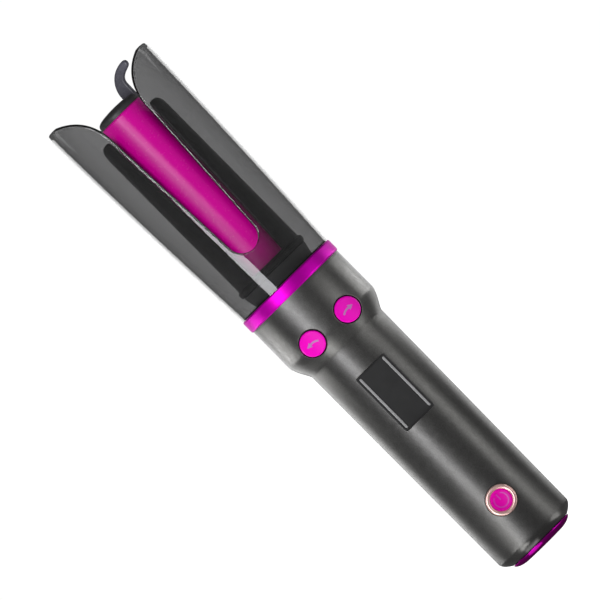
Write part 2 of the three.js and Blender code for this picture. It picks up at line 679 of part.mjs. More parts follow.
function chargeBoardPlate() {
  const { radius, bottom, top } = chargeBoard;
  const hole = rod(boardScrew.holeRadius, bottom - 1, top + 1, SCREW_ROUND);
  const holes = chargePlaces.map((x) => hole.clone().translate(x, 0, 0));
  return cut(rod(radius, bottom, top, MIDDLE_ROUND), ...holes);
}

// A receptacle open at the foot, with its contact tongue inside.
function usbSocket() {
  const halfWidth = usb.width / 2;
  const halfDepth = usb.depth / 2;
  const shell = block(-halfWidth, halfWidth, -halfDepth, halfDepth, usb.bottom, usb.top);
  const mouth = block(
    usb.wall - halfWidth, halfWidth - usb.wall, usb.wall - halfDepth, halfDepth - usb.wall, 0, usb.mouthTop,
  );
  const tongue = block(
    -usbTongue.halfWidth, usbTongue.halfWidth, -usbTongue.halfDepth, usbTongue.halfDepth,
    usbTongue.bottom, usbTongue.top,
  );
  return join(cut(shell, mouth), tongue);
}

add('battery_cell_left', batteryCell(), magentaPlastic()).position.set(-cell.x, cell.y, 0);
add('battery_cell_right', batteryCell(), magentaPlastic()).position.set(cell.x, cell.y, 0);
add('battery_holder', batteryHolder(), blackPlastic());
add('main_board', mainBoardWithParts(), boardGreen());
boardScrew.heights.forEach((height, index) => {
  const made = screw(`board_screw_${index + 1}`, boardScrew);
  made.rotation.x = -Math.PI / 2;
  made.position.set(0, mainBoard.front - SCREW_HEAD - GAP, height);
});
add('charge_board', chargeBoardPlate(), boardGreen());
chargePlaces.forEach((x, index) => {
  const made = screw(`charge_screw_${index + 1}`, boardScrew);
  made.rotation.x = Math.PI;
  made.position.set(x, 0, chargeBoard.top + SCREW_HEAD + GAP);
});
add('charging_socket', usbSocket(), steel()).position.y = usb.y;

export default curler;
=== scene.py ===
import json
import math

import bmesh
import bpy
from mathutils import Matrix, Vector


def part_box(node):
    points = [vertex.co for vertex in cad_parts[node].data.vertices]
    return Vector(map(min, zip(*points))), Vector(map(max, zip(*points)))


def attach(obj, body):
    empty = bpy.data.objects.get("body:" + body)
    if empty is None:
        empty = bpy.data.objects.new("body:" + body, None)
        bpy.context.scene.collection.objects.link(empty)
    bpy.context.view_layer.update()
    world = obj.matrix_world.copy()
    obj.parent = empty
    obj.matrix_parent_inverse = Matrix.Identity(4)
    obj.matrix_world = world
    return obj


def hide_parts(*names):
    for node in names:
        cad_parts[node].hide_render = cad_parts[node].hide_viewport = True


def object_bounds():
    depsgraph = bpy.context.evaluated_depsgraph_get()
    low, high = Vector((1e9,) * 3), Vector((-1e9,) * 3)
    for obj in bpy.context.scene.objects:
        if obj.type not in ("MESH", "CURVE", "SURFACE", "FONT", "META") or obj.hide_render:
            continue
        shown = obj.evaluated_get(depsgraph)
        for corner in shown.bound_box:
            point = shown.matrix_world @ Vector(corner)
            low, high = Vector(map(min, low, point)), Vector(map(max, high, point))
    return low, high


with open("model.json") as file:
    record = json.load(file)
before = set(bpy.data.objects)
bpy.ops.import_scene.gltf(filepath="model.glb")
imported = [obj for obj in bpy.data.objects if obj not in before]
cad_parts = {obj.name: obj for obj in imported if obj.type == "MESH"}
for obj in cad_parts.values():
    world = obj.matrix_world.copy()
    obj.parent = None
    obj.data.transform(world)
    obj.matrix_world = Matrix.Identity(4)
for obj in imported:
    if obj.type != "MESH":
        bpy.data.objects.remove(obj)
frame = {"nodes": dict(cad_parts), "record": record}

# The looks of a cordless automatic hair curler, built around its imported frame.
# Shapes are worked out in millimetres, +Z up, with the front facing -Y, and are scaled to metres
# at the end.

MM = 0.001
CAD_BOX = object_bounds()


# ---- sizes

def node_box(node):
    """The lowest and highest corner of a CAD node, in millimetres."""
    low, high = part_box(node)
    return low / MM, high / MM


TURN = 2 * math.pi
SIDES = 192  # round a large turned piece
FINE_SIDES = 96  # round a small one
SCREW_SIDES = 32
POST_SIDES = 24
BEND_ROWS = (1, 2, 3, 4, 6, *range(13, 118, 7))  # depths below its top where a wall can bend
TINY = 1e-4  # two places closer than this are the same
SHARP_ANGLE = math.radians(32)

foot_high = node_box("foot_cap")[1]
casing_low, casing_high = node_box("main_casing")
ring_low, ring_high = node_box("accent_ring")
guard_low, guard_high = node_box("chamber_guard")
deck_low, deck_high = node_box("bearing_deck")
sleeve_low, sleeve_high = node_box("winder_sleeve")
hook_low, hook_high = node_box("catch_hook")
barrel_low, barrel_high = node_box("heated_barrel")
cap_low, cap_high = node_box("barrel_cap")
arrow_low, arrow_high = node_box("right_button")
power_low, power_high = node_box("power_button")
collar_low, collar_high = node_box("power_ring")
lens_low, lens_high = node_box("display_lens")
bar_low, bar_high = node_box("display_bar_right")
socket_low, socket_high = node_box("charging_socket")

FOOT_RIM = foot_high.x
FOOT_FLAT = 10  # radius of the flat underside
FOOT_CURVE = ((12.8, 0), (15.5, 0.9))
FOOT_STEP = 2.6  # height where the edge of the casing rests
FOOT_FLOOR = 1.8
SKIRT_RADIUS = 14.2  # of the skirt inside the casing
SKIRT_WALL = 1.6

WALL = 1.8  # casing wall
LIP = 0.35  # rounding round the holes in the casing
HOLE_CUT = (-30, -10)  # from outside the casing to well inside its wall
HANDLE_LOW_RADIUS = 20.8
HANDLE_HIGH_RADIUS = 21.3
HANDLE_BOTTOM = 7.4
HANDLE_TOP = 123.5
LOWER_EDGE_CURVE = ((18.9, 4.3), (20.4, 5.8))
SHOULDER_CURVE = ((21.8, 125.6), (25.5, 130))
HEAD_RADIUS = casing_high.x
HEAD_BOTTOM = 134
RING_RADIUS = ring_high.x
RING_BORE = 23.5
RING_EDGE = 0.35

GUARD_WALL = 2
GUARD_FOOT = ring_high.z + 0.3  # where the clear wall meets the ring
GUARD_SLOPE = 1  # height of the slope from the wall in to the spigot
GUARD_LOW_RADIUS = RING_RADIUS + 0.1
GUARD_RADIUS = guard_high.x + 0.04
GUARD_BULGE = 2.3  # how much the cone swells on the way up
GUARD_CURL = 0.9  # how far its lip curls in
GUARD_CURL_HEIGHT = 4
GUARD_TOP = guard_high.z
PAINTED_RIM_SHADE_BOTTOM = 264  # above it the guard's cut edges get a painted shade, near black
SPIGOT_RADIUS = 23.2
SPIGOT_BORE = 21.6
SLOT_HALF_WIDTH = 7.5
SLOT_END = 189.3  # centre of the round end of the hair slot
SLOT_TOP_HALF_WIDTH = 11
SLOT_TOP = 259
SLOT_FLARE = ((11.8, 270), (17.5, 276.5))
WING_TIP = (27, GUARD_TOP + 0.3)
BACK_VALLEY = 257
VALLEY_CURVE = ((8, BACK_VALLEY), (16, 275))

COLLAR_RADIUS = 17.6
DECK_TOP = 161.6
DECK_BORE = 10.6
POST_OFFSET = 13.4
POST_RADIUS = 2.2
POST_BORE = 1.2
POST_BOTTOM = 148.5
POST_TOP = 157.4

SLEEVE_WALL = 1.6
SLEEVE_RADIUS = 18
SLEEVE_FLANGE = sleeve_high.x
FLANGE_BOTTOM = 169
FLANGE_TOP = 172.4
SLEEVE_FOOT = FLANGE_TOP + 0.2  # where the fingers' wall grows into the flange
FRONT_GAP_FLOOR = 173
FRONT_GAP_HALF_WIDTHS = (9.4, 12.9)  # at its floor and at the finger tips
FINGER_SIDE = math.radians(94.8)
FINGER_SIDE_TOP = 246
FINGER_TOP_CURVE = ((math.radians(66), sleeve_high.z), (math.radians(88), sleeve_high.z - 1.5))
SIDE_GAP_BOTTOM = 217
SIDE_GAP_STRAIGHT = 224
REAR_FINGER_SIDE = math.radians(121.9)
HUB_BORE = 6.4
HUB_RADIUS = 7.6
REAR_FINGER_TOP = 252

HOOK_ANGLE = math.radians(26.3) # from +Y towards +X
HOOK_INNER = 18.3
HOOK_THICKNESS = 2.4
HOOK_HALF_WIDTH = 3.5
HOOK_BOTTOM = hook_low.z
HOOK_LEG_TOP = 273
HOOK_BEND = ((3.9, 276), (7, 276.6), (9.6, 277.5))
HOOK_TIP = ((11.5, 278.1), (11.5, hook_high.z), (9, hook_high.z))
HOOK_BACK = ((1.6, 281), (-3.3, 275.5), (-HOOK_HALF_WIDTH, 269.5))
HOOK_SCREW_HEIGHTS = (233, 244)
HOOK_SCREW = (1.7, 0.8, 4.2)  # head radius, shank radius and length
HOOK_SCREW_HEAD = 1.3  # how far its head stands out of the hook

BARREL_RADIUS = barrel_high.x
BARREL_WALL = 1.2
BARREL_BORE = BARREL_RADIUS - BARREL_WALL
BARREL_EDGE = 0.3
CROWN_GAP = 0.3  # between the barrel and its cap
CROWN_STRAIGHT = 1.7
CROWN_EDGE = ((10.9, 267.4), (9.4, 268), (7.6, 268.3))
CROWN_TOP = ((5, 268.7), (2, cap_high.z), (0, cap_high.z))

ARROW_X = (arrow_low.x + arrow_high.x) / 2
ARROW_Z = (arrow_low.z + arrow_high.z) / 2
ARROW_RADIUS = (arrow_high.x - arrow_low.x) / 2
ARROW_HOLE = ARROW_RADIUS + 0.45
ARROW_FACE = HEAD_RADIUS + 0.2
ARROW_EDGE = 0.7
POWER_Z = (power_low.z + power_high.z) / 2
POWER_RADIUS = (power_high.z - power_low.z) / 2
POWER_HOLE = collar_high.x + 0.35
POWER_FACE = power_high.y - power_low.y
POWER_DISH = 0.7  # how deep its face is dished
POWER_DISH_RADIUS = 4.2
LENS_HALF_WIDTH = lens_high.x
LENS_MIDDLE = (lens_low.z + lens_high.z) / 2
LENS_HALF_HEIGHT = (lens_high.z - lens_low.z) / 2
WINDOW_GAP = 0.3
WINDOW_CORNER = 0.6
WINDOW_HOLE_CORNER = 0.9
BAR_MIDDLE = (bar_low.x + bar_high.x) / 2
BAR_WIDTH = bar_high.x - bar_low.x
BAR_INSET = 0.2  # the lit face of a bar is this much slimmer on each side
SOCKET_Y = (socket_low.y + socket_high.y) / 2
SOCKET_HALF_WIDTH = socket_high.x
SOCKET_HALF_DEPTH = (socket_high.y - socket_low.y) / 2
SOCKET_BORE = (4.15, 1.3)  # half its width and half its depth
SOCKET_GAP = 0.3  # round it, in the foot
SOCKET_DEPTH = 6.2
TONGUE = ((-3.3, -0.35), (3.3, 0.35))
TONGUE_HEIGHTS = (1.6, 7.5)


# ---- outlines

def arc(x, y, radius, start, end, steps):
    """Points along an arc, its angles in degrees."""
    angles = [math.radians(start + (end - start) * step / steps) for step in range(steps + 1)]
    return [(x + radius * math.cos(angle), y + radius * math.sin(angle)) for angle in angles]


def line(start, end, steps):
    """Points along a straight line, without its start."""
    return [
        tuple(a + (b - a) * step / steps for a, b in zip(start, end))
        for step in range(1, steps + 1)
    ]


def bezier(start, lead, trail, end, steps):
    """Points along a cubic curve, without its start."""
    points = []
    for step in range(1, steps + 1):
        t = step / steps
        s = 1 - t
        weights = (s ** 3, 3 * s * s * t, 3 * s * t * t, t ** 3)
        corners = zip(start, lead, trail, end)
        points.append(tuple(sum(w * c for w, c in zip(weights, four)) for four in corners))
    return points


def rounded(corners, steps=5):
    """A closed outline of (x, y, radius) corners, each turned into an arc of its radius."""
    points = []
    for index, (x, y, radius) in enumerate(corners):
        here = Vector((x, y))
        if not radius:
            points.append((x, y))
            continue
        back = (Vector(corners[index - 1][:2]) - here).normalized()
        ahead = (Vector(corners[(index + 1) % len(corners)][:2]) - here).normalized()
        half = back.angle(ahead) / 2
        centre = here + (back + ahead).normalized() * radius / math.sin(half)
        start = here + back * radius / math.tan(half) - centre
        end = here + ahead * radius / math.tan(half) - centre
        points += [tuple(centre + start.slerp(end, step / steps)) for step in range(steps + 1)]
    return points


def rounded_box(low, high, radii, steps=5):
    """The outline of a box between two corners, each of its own corners rounded, from the low one on."""
    (left, bottom), (right, top) = low, high
    corners = ((left, bottom), (right, bottom), (right, top), (left, top))
    return rounded([(*corner, radius) for corner, radius in zip(corners, radii)], steps)


def both_sides(half, foot):
    """A wall's flat outline: half of it mirrored, and closed along its foot."""
    whole = [(-angle, height) for angle, height in reversed(half[1:])] + half
    return whole + [(math.pi, foot), (-math.pi, foot)]


# ---- meshes

def facing_out(bm):
    """A bmesh with every face turned outward."""
    bmesh.ops.recalc_face_normals(bm, faces=bm.faces)
    return bm


def bridge(bm, ring, after):
    """Faces between two closed rings of as many vertices."""
    for index in range(len(ring)):
        bm.faces.new((ring[index - 1], after[index - 1], after[index], ring[index]))


def prism(outline, low, high):
    """A bmesh of an outline of (x, z) points, carried along Y from low to high."""
    bm = bmesh.new()
    near = [bm.verts.new((x, low, z)) for x, z in outline]
    far = [bm.verts.new((x, high, z)) for x, z in outline]
    bm.faces.new(near)
    bm.faces.new(reversed(far))
    bridge(bm, near, far)
    return facing_out(bm)


def column(outline, low, high):
    """A bmesh of an outline of (x, y) points, carried up from low to high."""
    bm = prism([(x, -y) for x, y in outline], low, high)
    bm.transform(Matrix.Rotation(math.pi / 2, 4, "X"))
    return bm


def lathe(profile, sides=SIDES):
    """A bmesh of a closed profile of (radius, height) points, turned about Z."""
    bm = bmesh.new()
    rings = []
    for radius, height in profile:
        count = sides if radius > TINY else 1
        angles = [TURN * (side + 0.5) / sides for side in range(count)]
        rings.append([
            bm.verts.new((radius * math.cos(a), radius * math.sin(a), height)) for a in angles
        ])
    for ring, above in zip(rings, rings[1:] + rings[:1]):
        if len(ring) == len(above) == 1:
            continue
        for side in range(sides):
            after = (side + 1) % sides
            corners = [ring[side % len(ring)], ring[after % len(ring)]]
            corners += [above[after % len(above)], above[side % len(above)]]
            bm.faces.new(dict.fromkeys(corners))
    return facing_out(bm)


def towards_front(bm, x, y, z):
    """Turns a piece made about Z so that its top faces the front, and moves its foot to a place."""
    bm.transform(Matrix.Translation((x, y, z)) @ Matrix.Rotation(math.pi / 2, 4, "X"))
    return bm


def placed(name, data):
    """A new object of the scene, made of some data."""
    made = bpy.data.objects.new(name, data)
    bpy.context.scene.collection.objects.link(made)
    return made


def merged(*parts):
    """One bmesh that holds several."""
    bm = bmesh.new()
    for part in parts:
        mesh = bpy.data.meshes.new("part")
        part.to_mesh(mesh)
        part.free()
        bm.from_mesh(mesh)
        bpy.data.meshes.remove(mesh)
    return bm


def carved(bm, cutter):
    """A bmesh with another cut out of it."""
    objects = []
    for each in (bm, cutter):
        mesh = bpy.data.meshes.new("solid")
        each.to_mesh(mesh)
        each.free()
        objects.append(placed("solid", mesh))
    modifier = objects[0].modifiers.new("cut", "BOOLEAN")
    modifier.operation = "DIFFERENCE"
    modifier.solver = "EXACT"
    modifier.object = objects[1]
    result = bmesh.new()
    result.from_object(objects[0], bpy.context.evaluated_depsgraph_get())
    for solid in objects:
        bpy.data.meshes.remove(solid.data)
    return result


def bevel(bm, edges, width, segments, clamp):
    """Rounds some edges of a bmesh."""
    bmesh.ops.bevel(
        bm, geom=edges, offset=width, offset_type="OFFSET", segments=segments, profile=0.5,
        affect="EDGES", clamp_overlap=clamp,
    )


def bevelled(bm, width, segments, angle):
    """A bmesh with every edge sharper than an angle rounded."""
    sharp = [e for e in bm.edges if e.is_manifold and e.calc_face_angle() > math.radians(angle)]
    bevel(bm, sharp, width, segments, True)
    return bm


def bent_wall(outline, radius_at, wall, outer_round, inner_round):
    """A wall of even thickness round Z, its flat outline given in (angle, height) points.

    The outline starts and ends at the back, and its top edge is rounded on both sides."""
    scale = radius_at(outline[0][1])
    flat = [(angle * scale, height) for angle, height in outline]
    bottom = min(height for _, height in flat)
    side = math.pi * scale
    bm = prism(flat, 0, wall)

    def rounds(edge, depth):
        ends = [v.co for v in edge.verts]
        on_face = all(abs(co.y - depth) < TINY for co in ends)
        on_seam = all(abs(abs(co.x) - side) < TINY for co in ends)
        on_foot = all(abs(co.z - bottom) < TINY for co in ends)
        return on_face and not on_seam and not on_foot

    for depth, width in ((0, outer_round), (wall, inner_round)):
        bevel(bm, [e for e in bm.edges if rounds(e, depth)], width, 4, False)
    seam = [
        f for f in bm.faces
        if any(all(abs(v.co.x - end) < TINY for v in f.verts) for end in (-side, side))
    ]
    bmesh.ops.delete(bm, geom=seam, context="FACES")
    top = max(v.co.z for v in bm.verts)
    cuts = [((2 * side * step / SIDES - side, 0, 0), (1, 0, 0)) for step in range(1, SIDES)]
    cuts += [((0, 0, top - drop), (0, 0, 1)) for drop in BEND_ROWS]
    for place, normal in cuts:
        everything = bm.verts[:] + bm.edges[:] + bm.faces[:]
        bmesh.ops.bisect_plane(bm, geom=everything, dist=TINY, plane_co=place, plane_no=normal)
    for vert in bm.verts:
        angle = vert.co.x / scale
        radius = radius_at(vert.co.z) - vert.co.y
        vert.co.x = radius * math.sin(angle)
        vert.co.y = -radius * math.cos(angle)
    bmesh.ops.remove_doubles(bm, verts=bm.verts, dist=0.002)
    return facing_out(bm)


def grow_foot(bm, bottom, steps):
    """Carries a bent wall's foot on, through (outer radius, its height, inner radius, its height)."""
    faces = [f for f in bm.faces if all(abs(v.co.z - bottom) < TINY for v in f.verts)]
    radii = [v.co.xy.length for f in faces for v in f.verts]
    middle = (min(radii) + max(radii)) / 2
    for outer, outer_height, inner, inner_height in steps:
        made = bmesh.ops.extrude_face_region(bm, geom=faces)["geom"]
        bmesh.ops.delete(bm, geom=faces, context="FACES")
        faces = [item for item in made if isinstance(item, bmesh.types.BMFace)]
        for vert in {v for f in faces for v in f.verts}:
            outside = vert.co.xy.length > middle
            vert.co.xy = vert.co.xy.normalized() * (outer if outside else inner)
            vert.co.z = outer_height if outside else inner_height
        middle = (outer + inner) / 2
    return facing_out(bm)


def rim(outline_at, width, depth, surface_y):
    """A lining for a hole in the casing, with a rounded lip.

    outline_at gives the hole's (x, z) points at an inset, and surface_y the casing's face there."""
    lip = [
        (width * (1 - math.cos(a)), width * (1 - math.sin(a)))
        for a in (0, 0.4, 0.8, 1.2, math.pi / 2)
    ]
    section = [(width - across, down) for across, down in reversed(lip)] + [(width, depth), (0, depth)]
    bm = bmesh.new()
    rings = []
    for inset, down in section:
        places = outline_at(inset)
        rings.append([bm.verts.new((x, surface_y(x, z) + down, z)) for x, z in places])
    for ring, after in zip(rings, rings[1:] + rings[:1]):
        bridge(bm, ring, after)
    return facing_out(bm)


def arc_stroke(x, z, radius, width, start, end, steps):
    """Rows of (x, z) points across a stroke that follows an arc."""
    sides = [arc(x, z, radius + across, start, end, steps) for across in (-width / 2, width / 2)]
    return list(zip(*sides))


def draped(rows, y_at, thickness):
    """A thin mark laid on the face y_at, as thick above it as under it: rows of two (x, z) points."""
    bm = bmesh.new()
    rings = []
    for left, right in rows:
        corners = ((*left, -thickness), (*right, -thickness), (*right, thickness), (*left, thickness))
        rings.append([bm.verts.new((x, y_at(x, z) + depth, z)) for x, z, depth in corners])
    for ring, after in zip(rings, rings[1:]):
        bridge(bm, ring, after)
    bm.faces.new(rings[0])
    bm.faces.new(rings[-1])
    return facing_out(bm)


# ---- materials

def plug(tree, socket, value):
    """Links a socket to another one, or sets it to a plain value."""
    if isinstance(value, bpy.types.NodeSocket):
        tree.links.new(value, socket)
    else:
        socket.default_value = value


def add_node(tree, kind, **inputs):
    """Adds a shader node and plugs its inputs, whose names have _ for a space."""
    node = tree.nodes.new(f"ShaderNode{kind}")
    for word, value in inputs.items():
        plug(tree, node.inputs[word.replace("_", " ")], value)
    return node


def new_material(name):
    """A material with its node tree, its shader and object coordinates in metres."""
    material = bpy.data.materials.new(name)
    material.use_nodes = True
    tree = material.node_tree
    shader = tree.nodes["Principled BSDF"]
    place = add_node(tree, "TexCoord").outputs["Object"]
    return material, tree, shader, place


def noise(tree, place, per_metre, detail=3, stretch=(1, 1, 1)):
    """A noise of so many grains in a metre, stretched along the axes."""
    mapping = add_node(tree, "Mapping", Vector=place, Scale=stretch)
    node = add_node(tree, "TexNoise", Vector=mapping.outputs["Vector"], Scale=per_metre, Detail=detail)
    return node.outputs["Fac"]


def ramp(tree, factor, low_colour, high_colour, low=0.3, high=0.7):
    """Blends between two colours as a factor goes from low to high."""
    node = add_node(tree, "ValToRGB", Fac=factor)
    for index, position, colour in ((0, low, low_colour), (1, high, high_colour)):
        node.color_ramp.elements[index].position = position
        node.color_ramp.elements[index].color = (*colour, 1)
    return node.outputs["Color"]


def spread(tree, factor, low, high):
    """A number that goes from low to high as a factor goes through its middle range."""
    node = add_node(tree, "MapRange", Value=factor, From_Min=0.3, From_Max=0.7, To_Min=low, To_Max=high)
    return node.outputs["Result"]


def bump(tree, height, shader, strength, distance):
    """Gives the shader a relief of a depth in metres."""
    node = add_node(tree, "Bump", Height=height, Strength=strength, Distance=distance)
    plug(tree, shader.inputs["Normal"], node.outputs["Normal"])


def maths(tree, operation, first, second=0.0):
    """A math node of two inputs, either of which may be a socket."""
    node = add_node(tree, "Math")
    node.operation = operation
    for socket, value in zip(node.inputs, (first, second)):
        plug(tree, socket, value)
    return node.outputs["Value"]


def blend(tree, factor, first, second):
    """A colour between two others, by a factor."""
    node = add_node(tree, "Mix")
    node.data_type = "RGBA"
    for index, value in ((0, factor), (6, first), (7, second)):
        plug(tree, node.inputs[index], value)
    return node.outputs[2]


def mix_shaders(tree, factor, first, second):
    """A shader between two others, by a factor."""
    node = add_node(tree, "MixShader")
    for socket, value in zip(node.inputs, (factor, first, second)):
        plug(tree, socket, value)
    return node.outputs["Shader"]


def finish_of(
    name, low_colour, high_colour, roughness, grain, stretch=(1, 1, 1), relief=0.02, **sockets
):
    """A moulded or plated surface: its colour and roughness drift slowly, and it has a fine grain."""
    material, tree, shader, place = new_material(name)
    drift = noise(tree, place, 60, 4, stretch)
    fine = noise(tree, place, grain, 2, stretch)
    plug(tree, shader.inputs["Base Color"], ramp(tree, drift, low_colour, high_colour))
    plug(tree, shader.inputs["Roughness"], spread(tree, fine, *roughness))
    bump(tree, fine, shader, 0.3, relief * MM)
    for word, value in sockets.items():
        shader.inputs[word.replace("_", " ")].default_value = value
    return material


def graphite_paint():
    """Metallic graphite paint: tiny flakes under a satin lacquer."""
    material, tree, shader, place = new_material("graphite_paint")
    flakes = add_node(tree, "TexVoronoi", Vector=place, Scale=4500).outputs["Color"]
    colour = ramp(tree, flakes, (0.066, 0.065, 0.062), (0.098, 0.097, 0.094), 0.1, 0.9)
    plug(tree, shader.inputs["Base Color"], colour)
    plug(tree, shader.inputs["Roughness"], spread(tree, noise(tree, place, 400), 0.33, 0.4))
    bump(tree, noise(tree, place, 2600, 2), shader, 0.15, 0.012 * MM)
    shader.inputs["Metallic"].default_value = 0.85
    return material


def painted_rim_shade_mask(tree, place):
    """Where the guard gets its painted shade: one on the cut top edges of the guard's wings, nought on
    its walls and round its slot.
    """
    apart = add_node(tree, "SeparateXYZ", Vector=place)
    outward = add_node(tree, "CombineXYZ", X=apart.outputs["X"], Y=apart.outputs["Y"])
    unit = add_node(tree, "VectorMath", Vector=outward.outputs["Vector"])
    unit.operation = "NORMALIZE"
    facing = add_node(tree, "VectorMath", Vector=unit.outputs["Vector"])
    facing.operation = "DOT_PRODUCT"
    plug(tree, facing.inputs[1], add_node(tree, "NewGeometry").outputs["Normal"])
    sideways = maths(tree, "LESS_THAN", maths(tree, "ABSOLUTE", facing.outputs["Value"]), 0.8)
    high = maths(tree, "GREATER_THAN", apart.outputs["Z"], PAINTED_RIM_SHADE_BOTTOM * MM)
    return maths(tree, "MULTIPLY", sideways, high)


def smoky_plastic():
    """Clear smoke-grey plastic, polished, with the faint drag lines of its moulding; the cut top edges
    of its wings carry a painted shade, near black.
    """
    material, tree, shader, place = new_material("smoky_plastic")
    streaks = noise(tree, place, 160, 3, (1, 1, 0.04))
    clear_colour = ramp(tree, streaks, (0.74, 0.74, 0.745), (0.78, 0.78, 0.785))
    # painted shade: the wings' cut top edges are coloured near black for the dark look of their clear
    # edges
    colour = blend(tree, painted_rim_shade_mask(tree, place), clear_colour, (0.004, 0.004, 0.004, 1))
    plug(tree, shader.inputs["Base Color"], colour)
    plug(tree, shader.inputs["Roughness"], spread(tree, noise(tree, place, 60), 0.03, 0.05))
    shader.inputs["Transmission Weight"].default_value = 1
    shader.inputs["IOR"].default_value = 1.6
    smoke = add_node(tree, "VolumeAbsorption", Color=(0, 0, 0, 1), Density=300)
    shadow_ray = add_node(tree, "LightPath").outputs["Is Shadow Ray"]
    clear = add_node(tree, "BsdfTransparent", Color=(0.9, 0.9, 0.9, 1))
    surface = mix_shaders(tree, shadow_ray, shader.outputs["BSDF"], clear.outputs["BSDF"])
    output = tree.nodes["Material Output"]
    plug(tree, output.inputs["Volume"], smoke.outputs["Volume"])
    plug(tree, output.inputs["Surface"], surface)
    return material


MAGENTA_TINT = (0.5, 0.05, 0.42, 1)


def magenta_anodised():
    """Anodised aluminium, with fine turning lines round it."""
    return finish_of(
        "magenta_anodised", (0.34, 0.002, 0.26), (0.38, 0.003, 0.29), (0.35, 0.39),
        500, (1, 1, 8), 0.002,
        Metallic=0.9, Specular_Tint=MAGENTA_TINT,
    )


def magenta_lacquer():
    """Metallic magenta lacquer, with fine turning lines round it."""
    return finish_of(
        "magenta_lacquer", (0.46, 0.001, 0.35), (0.5, 0.002, 0.38), (0.34, 0.38),
        500, (1, 1, 8), 0.002,
        Metallic=0.65, Specular_Tint=MAGENTA_TINT,
    )


def magenta_enamel():
    """Glossy magenta ceramic coating."""
    return finish_of(
        "magenta_enamel", (0.64, 0, 0.3), (0.68, 0.001, 0.32), (0.24, 0.28), 700, relief=0.001,
        Specular_IOR_Level=0.3,
    )


def button_magenta():
    """Bright magenta satin plastic."""
    return finish_of(
        "button_magenta", (0.68, 0.001, 0.4), (0.74, 0.001, 0.44), (0.34, 0.42), 1200, relief=0.004,
        Specular_IOR_Level=0.08,
    )


def power_magenta():
    """Deep magenta satin plastic."""
    return finish_of(
        "power_magenta", (0.52, 0.0005, 0.27), (0.56, 0.0005, 0.29), (0.34, 0.42), 1200, relief=0.004,
        Specular_IOR_Level=0.1,
    )


def mark_lavender():
    """Pale print on the arrow buttons."""
    return finish_of("mark_lavender", (0.36, 0.11, 0.34), (0.39, 0.13, 0.37), (0.4, 0.5), 1500)


def mark_mauve():
    """Faint print on the power button."""
    return finish_of("mark_mauve", (0.4, 0.025, 0.28), (0.43, 0.03, 0.3), (0.4, 0.5), 1500)


def rose_gold():
    """Satin rose-gold plating."""
    return finish_of(
        "rose_gold", (0.66, 0.42, 0.38), (0.7, 0.46, 0.42), (0.3, 0.34),
        900, relief=0.0005, Metallic=0.7,
    )


def winder_black():
    """Black heat-resistant plastic, satin, with faint lighter streaks along the fingers, a painted
    reflection of streaky light.
    """
    # the streaked colour range is a painted reflection
    return finish_of(
        "winder_black", (0.002, 0.002, 0.002), (0.016, 0.016, 0.0165), (0.3, 0.42),
        350, (8, 8, 0.12), 0.01,
        Specular_IOR_Level=0.35,
    )


def deck_black():
    """Black plastic with a fine spark-eroded texture."""
    return finish_of("deck_black", (0.03, 0.03, 0.031), (0.038, 0.038, 0.039), (0.4, 0.52), 1600)


def hook_grey():
    """Polished slate-grey nylon."""
    return finish_of("hook_grey", (0.08, 0.08, 0.1), (0.1, 0.1, 0.125), (0.24, 0.3), 500, relief=0.004)


def display_black():
    """Tinted window, smooth, with a trace of wear."""
    return finish_of(
        "display_black", (0.017, 0.017, 0.017), (0.019, 0.019, 0.019), (0.3, 0.36), 250, relief=0.001,
        Specular_IOR_Level=0.3,
    )


def bar_silver():
    """Light grey diffusing light bar."""
    return finish_of(
        "bar_silver", (0.25, 0.25, 0.25), (0.29, 0.29, 0.29), (0.3, 0.4),
        800, relief=0.004, Metallic=0.3,
    )


def plated_steel():
    """Bright zinc plating."""
    return finish_of(
        "plated_steel", (0.52, 0.53, 0.55), (0.66, 0.67, 0.68), (0.22, 0.36), 700, Metallic=1
    )


def turned_brass():
    """Turned brass."""
    return finish_of(
        "turned_brass", (0.6, 0.4, 0.13), (0.72, 0.5, 0.18), (0.22, 0.34), 600, (1, 1, 6), Metallic=1,
    )


def drawn_aluminium():
    """Extruded aluminium with draw lines along it."""
    return finish_of(
        "drawn_aluminium", (0.6, 0.61, 0.62), (0.72, 0.73, 0.74), (0.3, 0.42),
        900, (1, 1, 0.05), Metallic=1,
    )


def white_ceramic():
    """Matt white heater ceramic."""
    return finish_of("white_ceramic", (0.7, 0.67, 0.6), (0.8, 0.77, 0.71), (0.6, 0.75), 1300)


def gear_nylon():
    """Off-white moulded nylon."""
    return finish_of("gear_nylon", (0.72, 0.7, 0.64), (0.8, 0.78, 0.73), (0.4, 0.5), 1000)


def solder_mask():
    """Green solder mask over copper tracks."""
    material, tree, shader, place = new_material("solder_mask")
    voronoi = add_node(tree, "TexVoronoi", Vector=place, Scale=350)
    voronoi.distance = "MANHATTAN"
    tracks = voronoi.outputs["Distance"]
    colour = ramp(tree, tracks, (0.004, 0.06, 0.02), (0.012, 0.13, 0.05), 0.35, 0.45)
    plug(tree, shader.inputs["Base Color"], colour)
    plug(tree, shader.inputs["Roughness"], spread(tree, noise(tree, place, 700), 0.3, 0.42))
    bump(tree, tracks, shader, 0.2, 0.03 * MM)
    return material


def cell_wrap():
    """Blue shrink wrap on a battery cell."""
    return finish_of("cell_wrap", (0.03, 0.06, 0.22), (0.045, 0.08, 0.27), (0.3, 0.42), 400)


